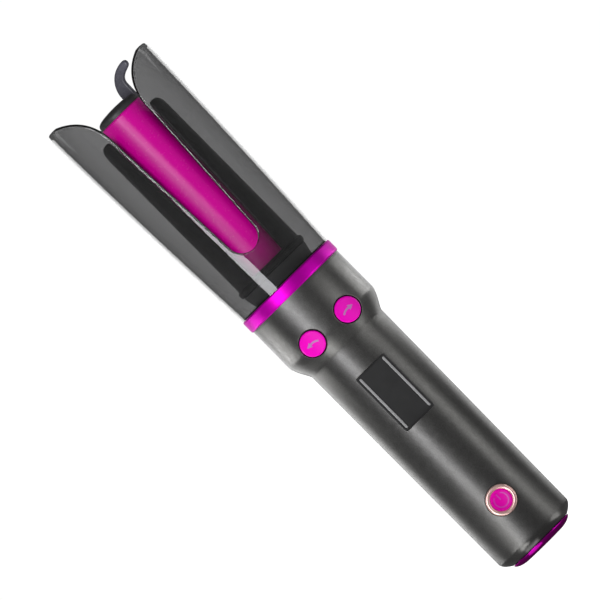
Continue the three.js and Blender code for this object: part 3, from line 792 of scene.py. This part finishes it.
MATERIALS = {
    "casing": graphite_paint(),
    "accent_metal": magenta_anodised(),
    "smoky_plastic": smoky_plastic(),
    "black_plastic": deck_black(),
    "bush_brass": turned_brass(),
    "steel": plated_steel(),
    "barrel_enamel": magenta_enamel(),
    "heater_ceramic": white_ceramic(),
    "spreader_aluminium": drawn_aluminium(),
    "circuit_board": solder_mask(),
    "rose_gold": rose_gold(),
    "display_glass": display_black(),
    "display_bar": bar_silver(),
    "battery": cell_wrap(),
    "hook_nylon": hook_grey(),
    "gear_nylon": gear_nylon(),
    "button_plastic": button_magenta(),
}
MATERIALS["motor_steel"] = MATERIALS["steel"]
MATERIALS["pinion_brass"] = MATERIALS["bush_brass"]
WINDER_BLACK = winder_black()
MARK_LAVENDER = mark_lavender()
MARK_MAUVE = mark_mauve()
POWER_MAGENTA = power_magenta()
RING_MAGENTA = magenta_lacquer()


def piece(name, bm, body, slot, *nodes, material=None):
    """Makes a piece of a bmesh in millimetres, riding on a body in place of CAD nodes."""
    bm.transform(Matrix.Scale(MM, 4))
    mesh = bpy.data.meshes.new(name)
    bm.to_mesh(mesh)
    bm.free()
    mesh.materials.append(material or MATERIALS[slot])
    mesh.shade_smooth()
    mesh.set_sharp_from_angle(angle=SHARP_ANGLE)
    made = placed(name, mesh)
    weights = made.modifiers.new("weighted_normals", "WEIGHTED_NORMAL")
    weights.keep_sharp = True
    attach(made, body)
    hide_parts(*nodes)


# ---- casing, ring and foot

def casing_outline():
    """The outside of the casing as (radius, height) points, from its foot to the ring."""
    points = [(FOOT_RIM, casing_low.z)]
    points += bezier(points[-1], *LOWER_EDGE_CURVE, (HANDLE_LOW_RADIUS, HANDLE_BOTTOM), 10)
    points += line(points[-1], (HANDLE_HIGH_RADIUS, HANDLE_TOP), 60)
    points += bezier(points[-1], *SHOULDER_CURVE, (HEAD_RADIUS, HEAD_BOTTOM), 16)
    points += line(points[-1], (HEAD_RADIUS, casing_high.z - 0.3), 14)
    points.append((HEAD_RADIUS - 0.1, casing_high.z - 0.08))
    points.append((HEAD_RADIUS - 0.3, casing_high.z))
    return points


CASING_OUTLINE = casing_outline()


def casing_y(x, z):
    """Where the front of the casing is, at x and z."""
    for (low_radius, low), (high_radius, high) in zip(CASING_OUTLINE, CASING_OUTLINE[1:]):
        if low <= z <= high:
            radius = low_radius + (high_radius - low_radius) * (z - low) / (high - low)
            return -math.sqrt(radius * radius - x * x)


def round_hole(x, z, radius):
    """The outline of a round hole with its lip, at an inset."""
    return lambda inset: arc(x, z, radius + LIP - inset, 0, 360, FINE_SIDES)[:-1]


def window_hole(inset):
    """The outline of the display window with its lip, at an inset."""
    half_width = LENS_HALF_WIDTH + WINDOW_GAP + LIP - inset
    half_height = LENS_HALF_HEIGHT + WINDOW_GAP + LIP - inset
    radius = WINDOW_HOLE_CORNER + LIP - inset
    points = []
    for x, z, start in ((1, -1, 270), (1, 1, 0), (-1, 1, 90), (-1, -1, 180)):
        centre = (x * (half_width - radius), LENS_MIDDLE + z * (half_height - radius))
        corner = arc(*centre, radius, start, start + 90, 6)
        if points:
            points += line(points[-1], corner[0], 24)[:-1]
        points += corner
    return points + line(points[-1], points[0], 24)[:-1]


def oval(half_width, half_depth, radius=None):
    """The outline of the charging socket at a size, as (x, y) points; its ends are nearly round."""
    low = (-half_width, SOCKET_Y - half_depth)
    return rounded_box(low, (half_width, SOCKET_Y + half_depth), [radius or half_depth * 0.95] * 4, 8)


def make_casing():
    """The graphite casing: one turned shell with lipped holes for the buttons and the display."""
    inside = [(radius - WALL, height) for radius, height in CASING_OUTLINE]
    shell = lathe(CASING_OUTLINE + inside[::-1])
    holes = [round_hole(side * ARROW_X, ARROW_Z, ARROW_HOLE) for side in (-1, 1)]
    holes += [round_hole(0, POWER_Z, POWER_HOLE), window_hole]
    cutters = merged(*(prism(hole(0), *HOLE_CUT) for hole in holes))
    shell = carved(shell, cutters)
    linings = [rim(hole, LIP, WALL, casing_y) for hole in holes]
    piece("casing_shell", merged(shell, *linings), "body", "casing", "main_casing")


def make_ring():
    """The magenta ring between the casing and the clear guard."""
    high = (RING_RADIUS, ring_high.z)
    profile = rounded_box((RING_BORE, ring_low.z), high, (0, RING_EDGE, RING_EDGE, 0))
    piece("accent_band", lathe(profile), "body", "accent_metal", "accent_ring", material=RING_MAGENTA)


def make_foot():
    """The domed magenta foot, with its skirt inside the casing and the mouth of the charging socket."""
    bore = SKIRT_RADIUS - SKIRT_WALL
    profile = [(0, 0), (FOOT_FLAT, 0)]
    profile += bezier(profile[-1], *FOOT_CURVE, (FOOT_RIM, FOOT_STEP - 0.3), 12)
    profile += [(FOOT_RIM, FOOT_STEP), (SKIRT_RADIUS, FOOT_STEP), (SKIRT_RADIUS, foot_high.z)]
    profile += [(bore, foot_high.z), (bore, FOOT_FLOOR), (0, FOOT_FLOOR)]
    mouth = oval(SOCKET_HALF_WIDTH + SOCKET_GAP, SOCKET_HALF_DEPTH + SOCKET_GAP, 1.6)
    shell = carved(lathe(profile), column(mouth, -5, 5))
    piece("foot_dome", shell, "body", "accent_metal", "foot_cap")


make_casing()
make_ring()
make_foot()


# ---- clear guard

def guard_radius(height):
    """The outer radius of the clear guard, a swelling cone whose lip curls in a little."""
    share = (height - GUARD_FOOT) / (GUARD_TOP - GUARD_FOOT)
    curl = max(0, height - GUARD_TOP + GUARD_CURL_HEIGHT) / GUARD_CURL_HEIGHT
    cone = GUARD_LOW_RADIUS + (GUARD_RADIUS - GUARD_LOW_RADIUS) * share
    return cone + GUARD_BULGE * share * (1 - share) - GUARD_CURL * curl * curl


def guard_outline():
    """The clear wall unrolled: the hair slot in front, two wings, and the valley at the back."""
    front = arc(0, SLOT_END, SLOT_HALF_WIDTH, -90, 0, 16)[1:]
    front += line(front[-1], (SLOT_TOP_HALF_WIDTH, SLOT_TOP), 24)
    front += bezier(front[-1], *SLOT_FLARE, WING_TIP, 26)
    back = bezier((0, BACK_VALLEY), *VALLEY_CURVE, WING_TIP, 30)
    front, back = (
        [(math.asin(x / guard_radius(height)), height) for x, height in edge if height < GUARD_TOP - 0.1]
        for edge in (front, back)
    )
    back = [(math.pi - angle, height) for angle, height in back]
    top = line((front[-1][0] + 0.04, GUARD_TOP), (back[-1][0] - 0.04, GUARD_TOP), 14)
    half = [(0, SLOT_END - SLOT_HALF_WIDTH)] + front + top + back[::-1]
    half.append((math.pi, BACK_VALLEY))
    return both_sides(half, GUARD_FOOT + GUARD_SLOPE)


def make_guard():
    """The smoky clear guard with its spigot down inside the ring."""
    wall = bent_wall(guard_outline(), guard_radius, GUARD_WALL, 0.7, 0.35)
    wall = grow_foot(wall, GUARD_FOOT + GUARD_SLOPE, [
        (GUARD_LOW_RADIUS, GUARD_FOOT, SPIGOT_BORE, GUARD_FOOT),
        (SPIGOT_RADIUS, GUARD_FOOT, SPIGOT_BORE, GUARD_FOOT - 1),
        (SPIGOT_RADIUS, guard_low.z, SPIGOT_BORE, guard_low.z),
    ])
    piece("clear_guard", wall, "body", "smoky_plastic", "chamber_guard")


make_guard()


# ---- deck, winder and hook

def make_deck():
    """The fixed deck that closes the head, with the collar and the four screw posts."""
    edge = 0.4
    profile = rounded([
        (DECK_BORE, deck_low.z, 0), (deck_high.x, deck_low.z, 0), (deck_high.x, DECK_TOP, edge),
        (COLLAR_RADIUS, DECK_TOP, 0.2), (COLLAR_RADIUS, deck_high.z, edge), (DECK_BORE, deck_high.z, 0),
    ])
    post_profile = rounded_box((POST_BORE, POST_BOTTOM), (POST_RADIUS, POST_TOP), (0, 0.3, 0, 0))
    posts = []
    for x in (-POST_OFFSET, POST_OFFSET):
        for y in (-POST_OFFSET, POST_OFFSET):
            posts.append(lathe(post_profile, POST_SIDES))
            posts[-1].transform(Matrix.Translation((x, y, 0)))
    deck = merged(lathe(profile), *posts)
    piece("fixed_deck", deck, "body", "black_plastic", "bearing_deck")


def sleeve_outline():
    """The winder's wall unrolled: two front fingers and a wide rear finger on a common foot."""
    floor = FRONT_GAP_FLOOR
    top = sleeve_high.z
    rear_top = REAR_FINGER_TOP
    low, high = (math.asin(x / SLEEVE_RADIUS) for x in FRONT_GAP_HALF_WIDTHS)
    flank = FINGER_SIDE
    rear = REAR_FINGER_SIDE
    half = [(0, floor)] + line((0, floor), (low - 0.08, floor), 6)
    half += bezier(half[-1], (low - 0.02, floor), (low, floor + 0.5), (low + 0.002, floor + 1.6), 5)
    half += line(half[-1], (high - 0.002, top - 3), 24)
    half += bezier(half[-1], (high, top - 1), (high + 0.02, top), (high + 0.1, top), 6)
    half += bezier(half[-1], *FINGER_TOP_CURVE, (flank, FINGER_SIDE_TOP), 18)
    half += line(half[-1], (flank, SIDE_GAP_STRAIGHT), 8)
    side_gap = ((flank, SIDE_GAP_BOTTOM), (rear, SIDE_GAP_BOTTOM), (rear, SIDE_GAP_STRAIGHT))
    half += bezier(half[-1], *side_gap, 16)
    half += line(half[-1], (rear, rear_top - 4), 8)
    half += bezier(half[-1], (rear, rear_top - 1.6), (rear + 0.08, rear_top), (rear + 0.23, rear_top), 8)
    half += line(half[-1], (math.pi, rear_top), 6)
    return both_sides(half, SLEEVE_FOOT)


def make_winder():
    """The rotating winder: fingers, flange and hub in one moulding."""
    wall = bent_wall(sleeve_outline(), lambda height: SLEEVE_RADIUS, SLEEVE_WALL, 0.4, 0.3)
    grown = grow_foot(wall, SLEEVE_FOOT, [
        (SLEEVE_RADIUS, FLANGE_TOP, SLEEVE_RADIUS - SLEEVE_WALL, FLANGE_TOP),
        (SLEEVE_FLANGE - 0.6, FLANGE_TOP - 0.12, HUB_BORE, FLANGE_TOP),
        (SLEEVE_FLANGE - 0.15, FLANGE_TOP - 0.5, HUB_BORE, FLANGE_TOP - 0.5),
        (SLEEVE_FLANGE, FLANGE_TOP - 1, HUB_BORE, FLANGE_TOP - 1),
        (SLEEVE_FLANGE, FLANGE_BOTTOM + 0.9, HUB_BORE, FLANGE_BOTTOM + 0.9),
        (SLEEVE_FLANGE - 0.3, FLANGE_BOTTOM + 0.3, HUB_BORE, FLANGE_BOTTOM + 0.3),
        (SLEEVE_RADIUS, FLANGE_BOTTOM, HUB_BORE, FLANGE_BOTTOM + 0.1),
        (HUB_RADIUS, FLANGE_BOTTOM, HUB_BORE, FLANGE_BOTTOM),
        (HUB_RADIUS, sleeve_low.z, HUB_BORE, sleeve_low.z),
    ])
    piece("winder_fingers", grown, "winder", "black_plastic", "winder_sleeve", material=WINDER_BLACK)


def screw(head_radius, shank_radius, length):
    """A pan-head screw with a cross recess, its head at z = 0 and its shank pointing up."""
    profile = [(0, 0), (head_radius * 0.55, 0)]
    profile += bezier(profile[-1], (head_radius * 0.9, 0), (head_radius, 0.3), (head_radius, 0.62), 6)
    profile += [(head_radius, 1), (shank_radius, 1), (shank_radius, length - 0.5)]
    profile += [(shank_radius * 0.4, length), (0, length)]
    body = lathe(profile, SCREW_SIDES)
    half = head_radius * 0.62
    for turn in (0, math.pi / 2):
        bar = column(rounded_box((-half, -0.22), (half, 0.22), [0] * 4), -1, 0.5)
        bar.transform(Matrix.Rotation(turn, 4, "Z"))
        body = carved(body, bar)
    return body


def hook_outline():
    """The catch hook from outside: a flat leg bent over at the top."""
    half = HOOK_HALF_WIDTH
    foot = [(-half, HOOK_BOTTOM, 1.5), (half, HOOK_BOTTOM, 1.5), (0, HOOK_BOTTOM + 12, 0)]
    points = rounded(foot)[:-1]
    points += line(points[-1], (half, HOOK_LEG_TOP), 4)
    for curve, steps in ((HOOK_BEND, 10), (HOOK_TIP, 10), (HOOK_BACK, 14)):
        points += bezier(points[-1], *curve, steps)
    return points


def to_hook(bm):
    """Turns a piece from straight behind the sleeve to the hook's place."""
    bm.transform(Matrix.Rotation(-HOOK_ANGLE, 4, "Z"))
    return bm


def make_hook():
    """The catch hook and its two screws."""
    plate = prism(hook_outline(), HOOK_INNER, HOOK_INNER + HOOK_THICKNESS)
    plate = bevelled(plate, 1.15, 5, 50)
    piece("hair_hook", to_hook(plate), "winder", "hook_nylon", "catch_hook")
    for number, height in enumerate(HOOK_SCREW_HEIGHTS, 1):
        reach = HOOK_INNER + HOOK_THICKNESS + HOOK_SCREW_HEAD
        head = towards_front(screw(*HOOK_SCREW), 0, reach, height)
        piece(f"claw_screw_{number}", to_hook(head), "winder", "steel", f"hook_screw_{number}")


make_deck()
make_winder()
make_hook()


# ---- heated barrel

def make_barrel():
    """The magenta barrel and its black end cap."""
    high = (BARREL_RADIUS, barrel_high.z)
    profile = rounded_box((BARREL_BORE, barrel_low.z), high, (0, BARREL_EDGE, BARREL_EDGE, 0))
    piece("barrel_tube", lathe(profile), "body", "barrel_enamel", "heated_barrel")
    spigot = BARREL_BORE - CROWN_GAP
    seat = barrel_high.z + CROWN_GAP
    crown = [(0, cap_low.z), (spigot, cap_low.z), (spigot, seat)]
    crown += [(BARREL_RADIUS, seat), (BARREL_RADIUS, seat + CROWN_STRAIGHT)]
    crown += bezier(crown[-1], *CROWN_EDGE, 8)
    crown += bezier(crown[-1], *CROWN_TOP, 6)
    piece("barrel_crown", lathe(crown), "body", "black_plastic", "barrel_cap")


make_barrel()


# ---- buttons

def arrow_y(x, z):
    """The face of an arrow button, which carries the head's curve on."""
    return -math.sqrt(ARROW_FACE ** 2 - x * x)


def arrow_cap(side):
    """A round cap whose face is part of the head's cylinder, with a rounded edge."""
    flat = ARROW_RADIUS - ARROW_EDGE
    rings = [(flat * share, 0) for share in (0.25, 0.5, 0.75, 1)]
    for step in range(1, 7):
        angle = math.pi / 2 * step / 6
        rings.append((flat + ARROW_EDGE * math.sin(angle), ARROW_EDGE * (1 - math.cos(angle))))
    bm = bmesh.new()
    middle = bm.verts.new((side * ARROW_X, arrow_y(ARROW_X, 0), ARROW_Z))
    loops = []
    for radius, drop in rings:
        places = arc(side * ARROW_X, ARROW_Z, radius, 0, 360, FINE_SIDES)[:-1]
        loops.append([bm.verts.new((x, arrow_y(x, z) + drop, z)) for x, z in places])
    back = arc(side * ARROW_X, ARROW_Z, ARROW_RADIUS, 0, 360, FINE_SIDES)[:-1]
    loops.append([bm.verts.new((x, arrow_high.y, z)) for x, z in back])
    for index in range(FINE_SIDES):
        bm.faces.new((middle, loops[0][index - 1], loops[0][index]))
    for loop, after in zip(loops, loops[1:]):
        bridge(bm, loop, after)
    bm.faces.new(loops[-1])
    return facing_out(bm)


def arrow_mark(side):
    """A turning arrow: a short curved tail and a solid head that points outward."""
    tail = arc_stroke(side * (ARROW_X + 0.1), ARROW_Z - 4, 4.3, 0.84, 90 + 42 * side, 90 - 20 * side, 12)
    head = []
    for reach, height, half in ((0.9, 0.25, 1.3), (3.1, 0.05, 0.05)):
        x = side * (ARROW_X + reach)
        head.append([(x, ARROW_Z + height - half), (x, ARROW_Z + height + half)])
    return merged(draped(tail, arrow_y, 0.06), draped(head, arrow_y, 0.06))


def power_face(radius):
    """How far the face of the power button stands out, at a distance from its middle."""
    return POWER_FACE - POWER_DISH * max(0, 1 - (radius / POWER_DISH_RADIUS) ** 2)


def power_y(x, z):
    """The dished face of the power button."""
    return power_high.y - power_face(math.hypot(x, z - POWER_Z))


def make_arrow_buttons():
    """The two turning buttons with their marks."""
    for word, side in (("left", -1), ("right", 1)):
        body = f"{word}_key"
        piece(f"{word}_cap", arrow_cap(side), body, "button_plastic", f"{word}_button")
        piece(f"{word}_mark", arrow_mark(side), body, "button_plastic", material=MARK_LAVENDER)


def make_power_button():
    """The dished power button, its symbol and the rose-gold ring round it."""
    face = POWER_FACE
    profile = [(0, 0), (POWER_RADIUS, 0), (POWER_RADIUS, face - 0.6)]
    profile += bezier(profile[-1], (POWER_RADIUS, face - 0.2), (4.9, face), (4.6, face), 6)
    dish = (POWER_DISH_RADIUS, 3.8, 3.4, 2.8, 2.1, 1.4, 0.7, 0)
    profile += [(radius, power_face(radius)) for radius in dish]
    cap = towards_front(lathe(profile, FINE_SIDES), 0, power_high.y, POWER_Z)
    piece("power_cap", cap, "power_key", "button_plastic", "power_button", material=POWER_MAGENTA)
    half = 0.26
    loop = arc_stroke(0, POWER_Z, 3.2, 2 * half, 122, 418, 48)
    stroke = [[(-half, POWER_Z + up), (half, POWER_Z + up)] for up in (0.2, 0.9, 1.6, 2.3, 2.9, 3.3)]
    mark = merged(draped(loop, power_y, 0.05), draped(stroke, power_y, 0.05))
    piece("power_mark", mark, "power_key", "button_plastic", material=MARK_MAUVE)
    height = collar_high.y - collar_low.y
    low = (collar_high.x - 1.15, 0)
    collar = rounded_box(low, (collar_high.x - 0.2, height), (0, 0, 0.45, 0.45), 6)
    ring = towards_front(lathe(collar, FINE_SIDES), 0, collar_high.y, POWER_Z)
    piece("power_bezel", ring, "body", "rose_gold", "power_ring")


make_arrow_buttons()
make_power_button()


# ---- display

def bar_outline(x, grow):
    """A bar with round ends, beside the display, grown on every side."""
    half = BAR_WIDTH / 2 - BAR_INSET + grow
    return (
        arc(x, bar_high.z - BAR_WIDTH / 2, half, 0, 180, 10)
        + arc(x, bar_low.z + BAR_WIDTH / 2, half, 180, 360, 10)
    )


def make_display():
    """The dark window, grooved for the two light bars, and the bars."""
    low = (-LENS_HALF_WIDTH, lens_low.z)
    window = rounded_box(low, (LENS_HALF_WIDTH, lens_high.z), [WINDOW_CORNER] * 4)
    plate = bevelled(prism(window, lens_low.y, lens_high.y), 0.15, 2, 60)
    grooves = merged(*(
        prism(bar_outline(side * BAR_MIDDLE, 0.2), lens_low.y - 1, bar_high.y + 0.3)
        for side in (-1, 1)
    ))
    piece("display_window", carved(plate, grooves), "body", "display_glass", "display_lens")
    for word, side in (("left", -1), ("right", 1)):
        bar = bevelled(prism(bar_outline(side * BAR_MIDDLE, 0), bar_low.y, bar_high.y), 0.2, 3, 50)
        piece(f"light_bar_{word}", bar, "body", "display_bar", f"display_bar_{word}")


def make_socket():
    """The charging socket behind the foot: a rounded shell with its contact tongue."""
    outer = column(oval(SOCKET_HALF_WIDTH, SOCKET_HALF_DEPTH), socket_low.z, socket_high.z)
    inner = column(oval(*SOCKET_BORE), socket_low.z - 1, socket_low.z + SOCKET_DEPTH)
    tongue = column(rounded_box(*TONGUE, [0.1] * 4), *TONGUE_HEIGHTS)
    tongue.transform(Matrix.Translation((0, SOCKET_Y, 0)))
    shell = merged(carved(outer, inner), tongue)
    piece("usb_shell", shell, "body", "steel", "charging_socket")


make_display()
make_socket()


# ---- the kept CAD nodes

def paint_kept_nodes():
    """Gives each CAD node that is still shown the finish of its slot."""
    for part in frame["record"]["subparts"]:
        node = frame["nodes"][part["node"]]
        if not node.hide_render:
            for material_slot in node.material_slots:
                material_slot.material = MATERIALS[part["material_slot"]]


paint_kept_nodes()


# ---- stage, lights and camera

def is_seen(tree):
    """One for rays seen straight, half for those through the guard's wall, or nought."""
    path = add_node(tree, "LightPath")
    unmirrored = maths(tree, "LESS_THAN", path.outputs["Glossy Depth"], 0.5)
    unscattered = maths(tree, "LESS_THAN", path.outputs["Diffuse Depth"], 0.5)
    straight = maths(tree, "MULTIPLY", unmirrored, unscattered)
    through = maths(tree, "MULTIPLY", path.outputs["Is Transmission Ray"], 0.5)
    return maths(tree, "MAXIMUM", straight, through)


def make_world():
    """A white backdrop, and a dimmer studio round it for the reflections."""
    world = bpy.data.worlds.new("studio")
    bpy.context.scene.world = world
    world.use_nodes = True
    tree = world.node_tree
    studio = tree.nodes["Background"]
    studio.inputs["Color"].default_value = (0.98, 0.98, 1, 1)
    studio.inputs["Strength"].default_value = 0.1
    backdrop = add_node(tree, "Background", Color=(1, 1, 1, 1), Strength=1.02)
    faces = (studio.outputs["Background"], backdrop.outputs["Background"])
    surface = mix_shaders(tree, is_seen(tree), *faces)
    plug(tree, tree.nodes["World Output"].inputs["Surface"], surface)


def make_floor():
    """A plain pale floor."""
    bm = bmesh.new()
    bmesh.ops.create_circle(bm, cap_ends=True, segments=96, radius=40)
    mesh = bpy.data.meshes.new("floor")
    bm.to_mesh(mesh)
    bm.free()
    floor = placed("floor", mesh)
    floor.location.z = -0.0002
    material, tree, shader, place = new_material("floor_white")
    seen = is_seen(tree)
    pale = ramp(tree, noise(tree, place, 3), (0.46, 0.46, 0.46), (0.5, 0.5, 0.5))
    plug(tree, shader.inputs["Base Color"], blend(tree, seen, (0.17, 0.17, 0.17, 1), pale))
    shader.inputs["Roughness"].default_value = 0.9
    shader.inputs["Specular IOR Level"].default_value = 0
    shader.inputs["Emission Color"].default_value = (1, 1, 1, 1)
    plug(tree, shader.inputs["Emission Strength"], maths(tree, "ADD", seen, 0.1))
    mesh.materials.append(material)


def area_light(name, width, height, radiance, colour=(1, 1, 1)):
    """A soft light that the camera does not see; radiance is its brightness beside a white wall."""
    light = bpy.data.lights.new(name, "AREA")
    light.shape = "RECTANGLE"
    light.size = width
    light.size_y = height
    light.energy = radiance * math.pi * width * height
    light.color = colour
    lamp = placed(name, light)
    lamp.visible_camera = False
    lamp.visible_transmission = False
    return lamp


def softbox(name, azimuth, distance, width, bottom, top, radiance, colour=(1, 1, 1)):
    """An upright softbox; azimuth 0 is in front of the curler and 90 is on its +X side."""
    angle = math.radians(azimuth)
    place = Vector((distance * math.sin(angle), -distance * math.cos(angle), (bottom + top) / 2))
    lamp = area_light(name, width, top - bottom, radiance, colour)
    lamp.location = place
    lamp.rotation_euler = (math.pi / 2, 0, angle)


def floor_card(name, start, end, width, radiance):
    """A bright card that lies on the floor between two (x, y) points, for the undersides to reflect."""
    start, end = Vector(start), Vector(end)
    middle = (start + end) / 2
    along = end - start
    lamp = area_light(name, width, along.length, radiance)
    lamp.location = (*middle, 0.0005)
    lamp.rotation_euler = (math.pi, 0, math.atan2(along.x, -along.y))


def make_lights():
    """A bright strip on the left, dimmer ones on the right, edge lights behind, and floor cards."""
    floor_level, waist, head_level, ring_level = 0, 0.122, 0.128, 0.147
    softbox("left_strip", -31, 0.46, 0.165, floor_level, 0.42, 7.6, (0.96, 0.96, 1))
    softbox("right_strip", 61, 0.32, 0.13, floor_level, waist, 3.2)
    softbox("right_head_strip", 42, 0.1, 0.04, waist, ring_level, 3)
    for side, word, edge in ((-1, "left", 2.3), (1, "right", 1.5)):
        softbox(f"{word}_edge", side * 140, 0.3, 0.2, floor_level, ring_level, edge)
        softbox(f"{word}_guard_edge", side * 155, 0.3, 0.15, 0.14, 0.3, 1.5)
    softbox("left_head_edge", -106, 0.2, 0.14, head_level, ring_level, 12)
    softbox("right_head_edge", 112, 0.2, 0.13, head_level, ring_level, 9)
    softbox("chamber_fill", -10, 0.35, 0.12, 0.2, 0.3, 4.5)
    floor_card("left_card", (-0.048, -0.034), (-0.13, -0.208), 0.045, 8)
    floor_card("right_card", (0.082, -0.009), (0.21, -0.142), 0.05, 3.6)
    floor_card("left_side_card", (-0.04, 0.02), (-0.18, 0.09), 0.05, 2)
    floor_card("left_foot_card", (-0.0045, -0.0143), (-0.0055, -0.0172), 0.009, 1.5)
    floor_card("left_base_card", (-0.0085, -0.0182), (-0.034, -0.052), 0.007, 4)
    floor_card("right_base_card", (0.014, -0.0146), (0.055, -0.036), 0.009, 2.4)


def make_camera():
    """Straight in front and almost square on, turned so that the tip points up and to the left."""
    data = bpy.data.cameras.new("camera")
    camera = placed("camera", data)
    distance = 6
    picture_width = 0.2629
    data.sensor_width = 36
    data.lens = data.sensor_width * distance / picture_width
    data.clip_end = 60
    middle = sum(CAD_BOX, Vector()) / 2
    aim = Vector((middle.x - 0.0012, 0, middle.z + 0.011))
    roll = math.radians(44.64)
    right = Vector((math.cos(roll), 0, -math.sin(roll)))
    up = Vector((math.sin(roll), 0, math.cos(roll)))
    back = Vector((0, -1, 0))
    turn = Matrix((right, up, back)).transposed().to_4x4()
    camera.matrix_world = Matrix.Translation(aim + back * distance) @ turn
    bpy.context.scene.camera = camera


make_world()
make_floor()
make_lights()
make_camera()
bpy.context.scene.view_settings.view_transform = "Standard"
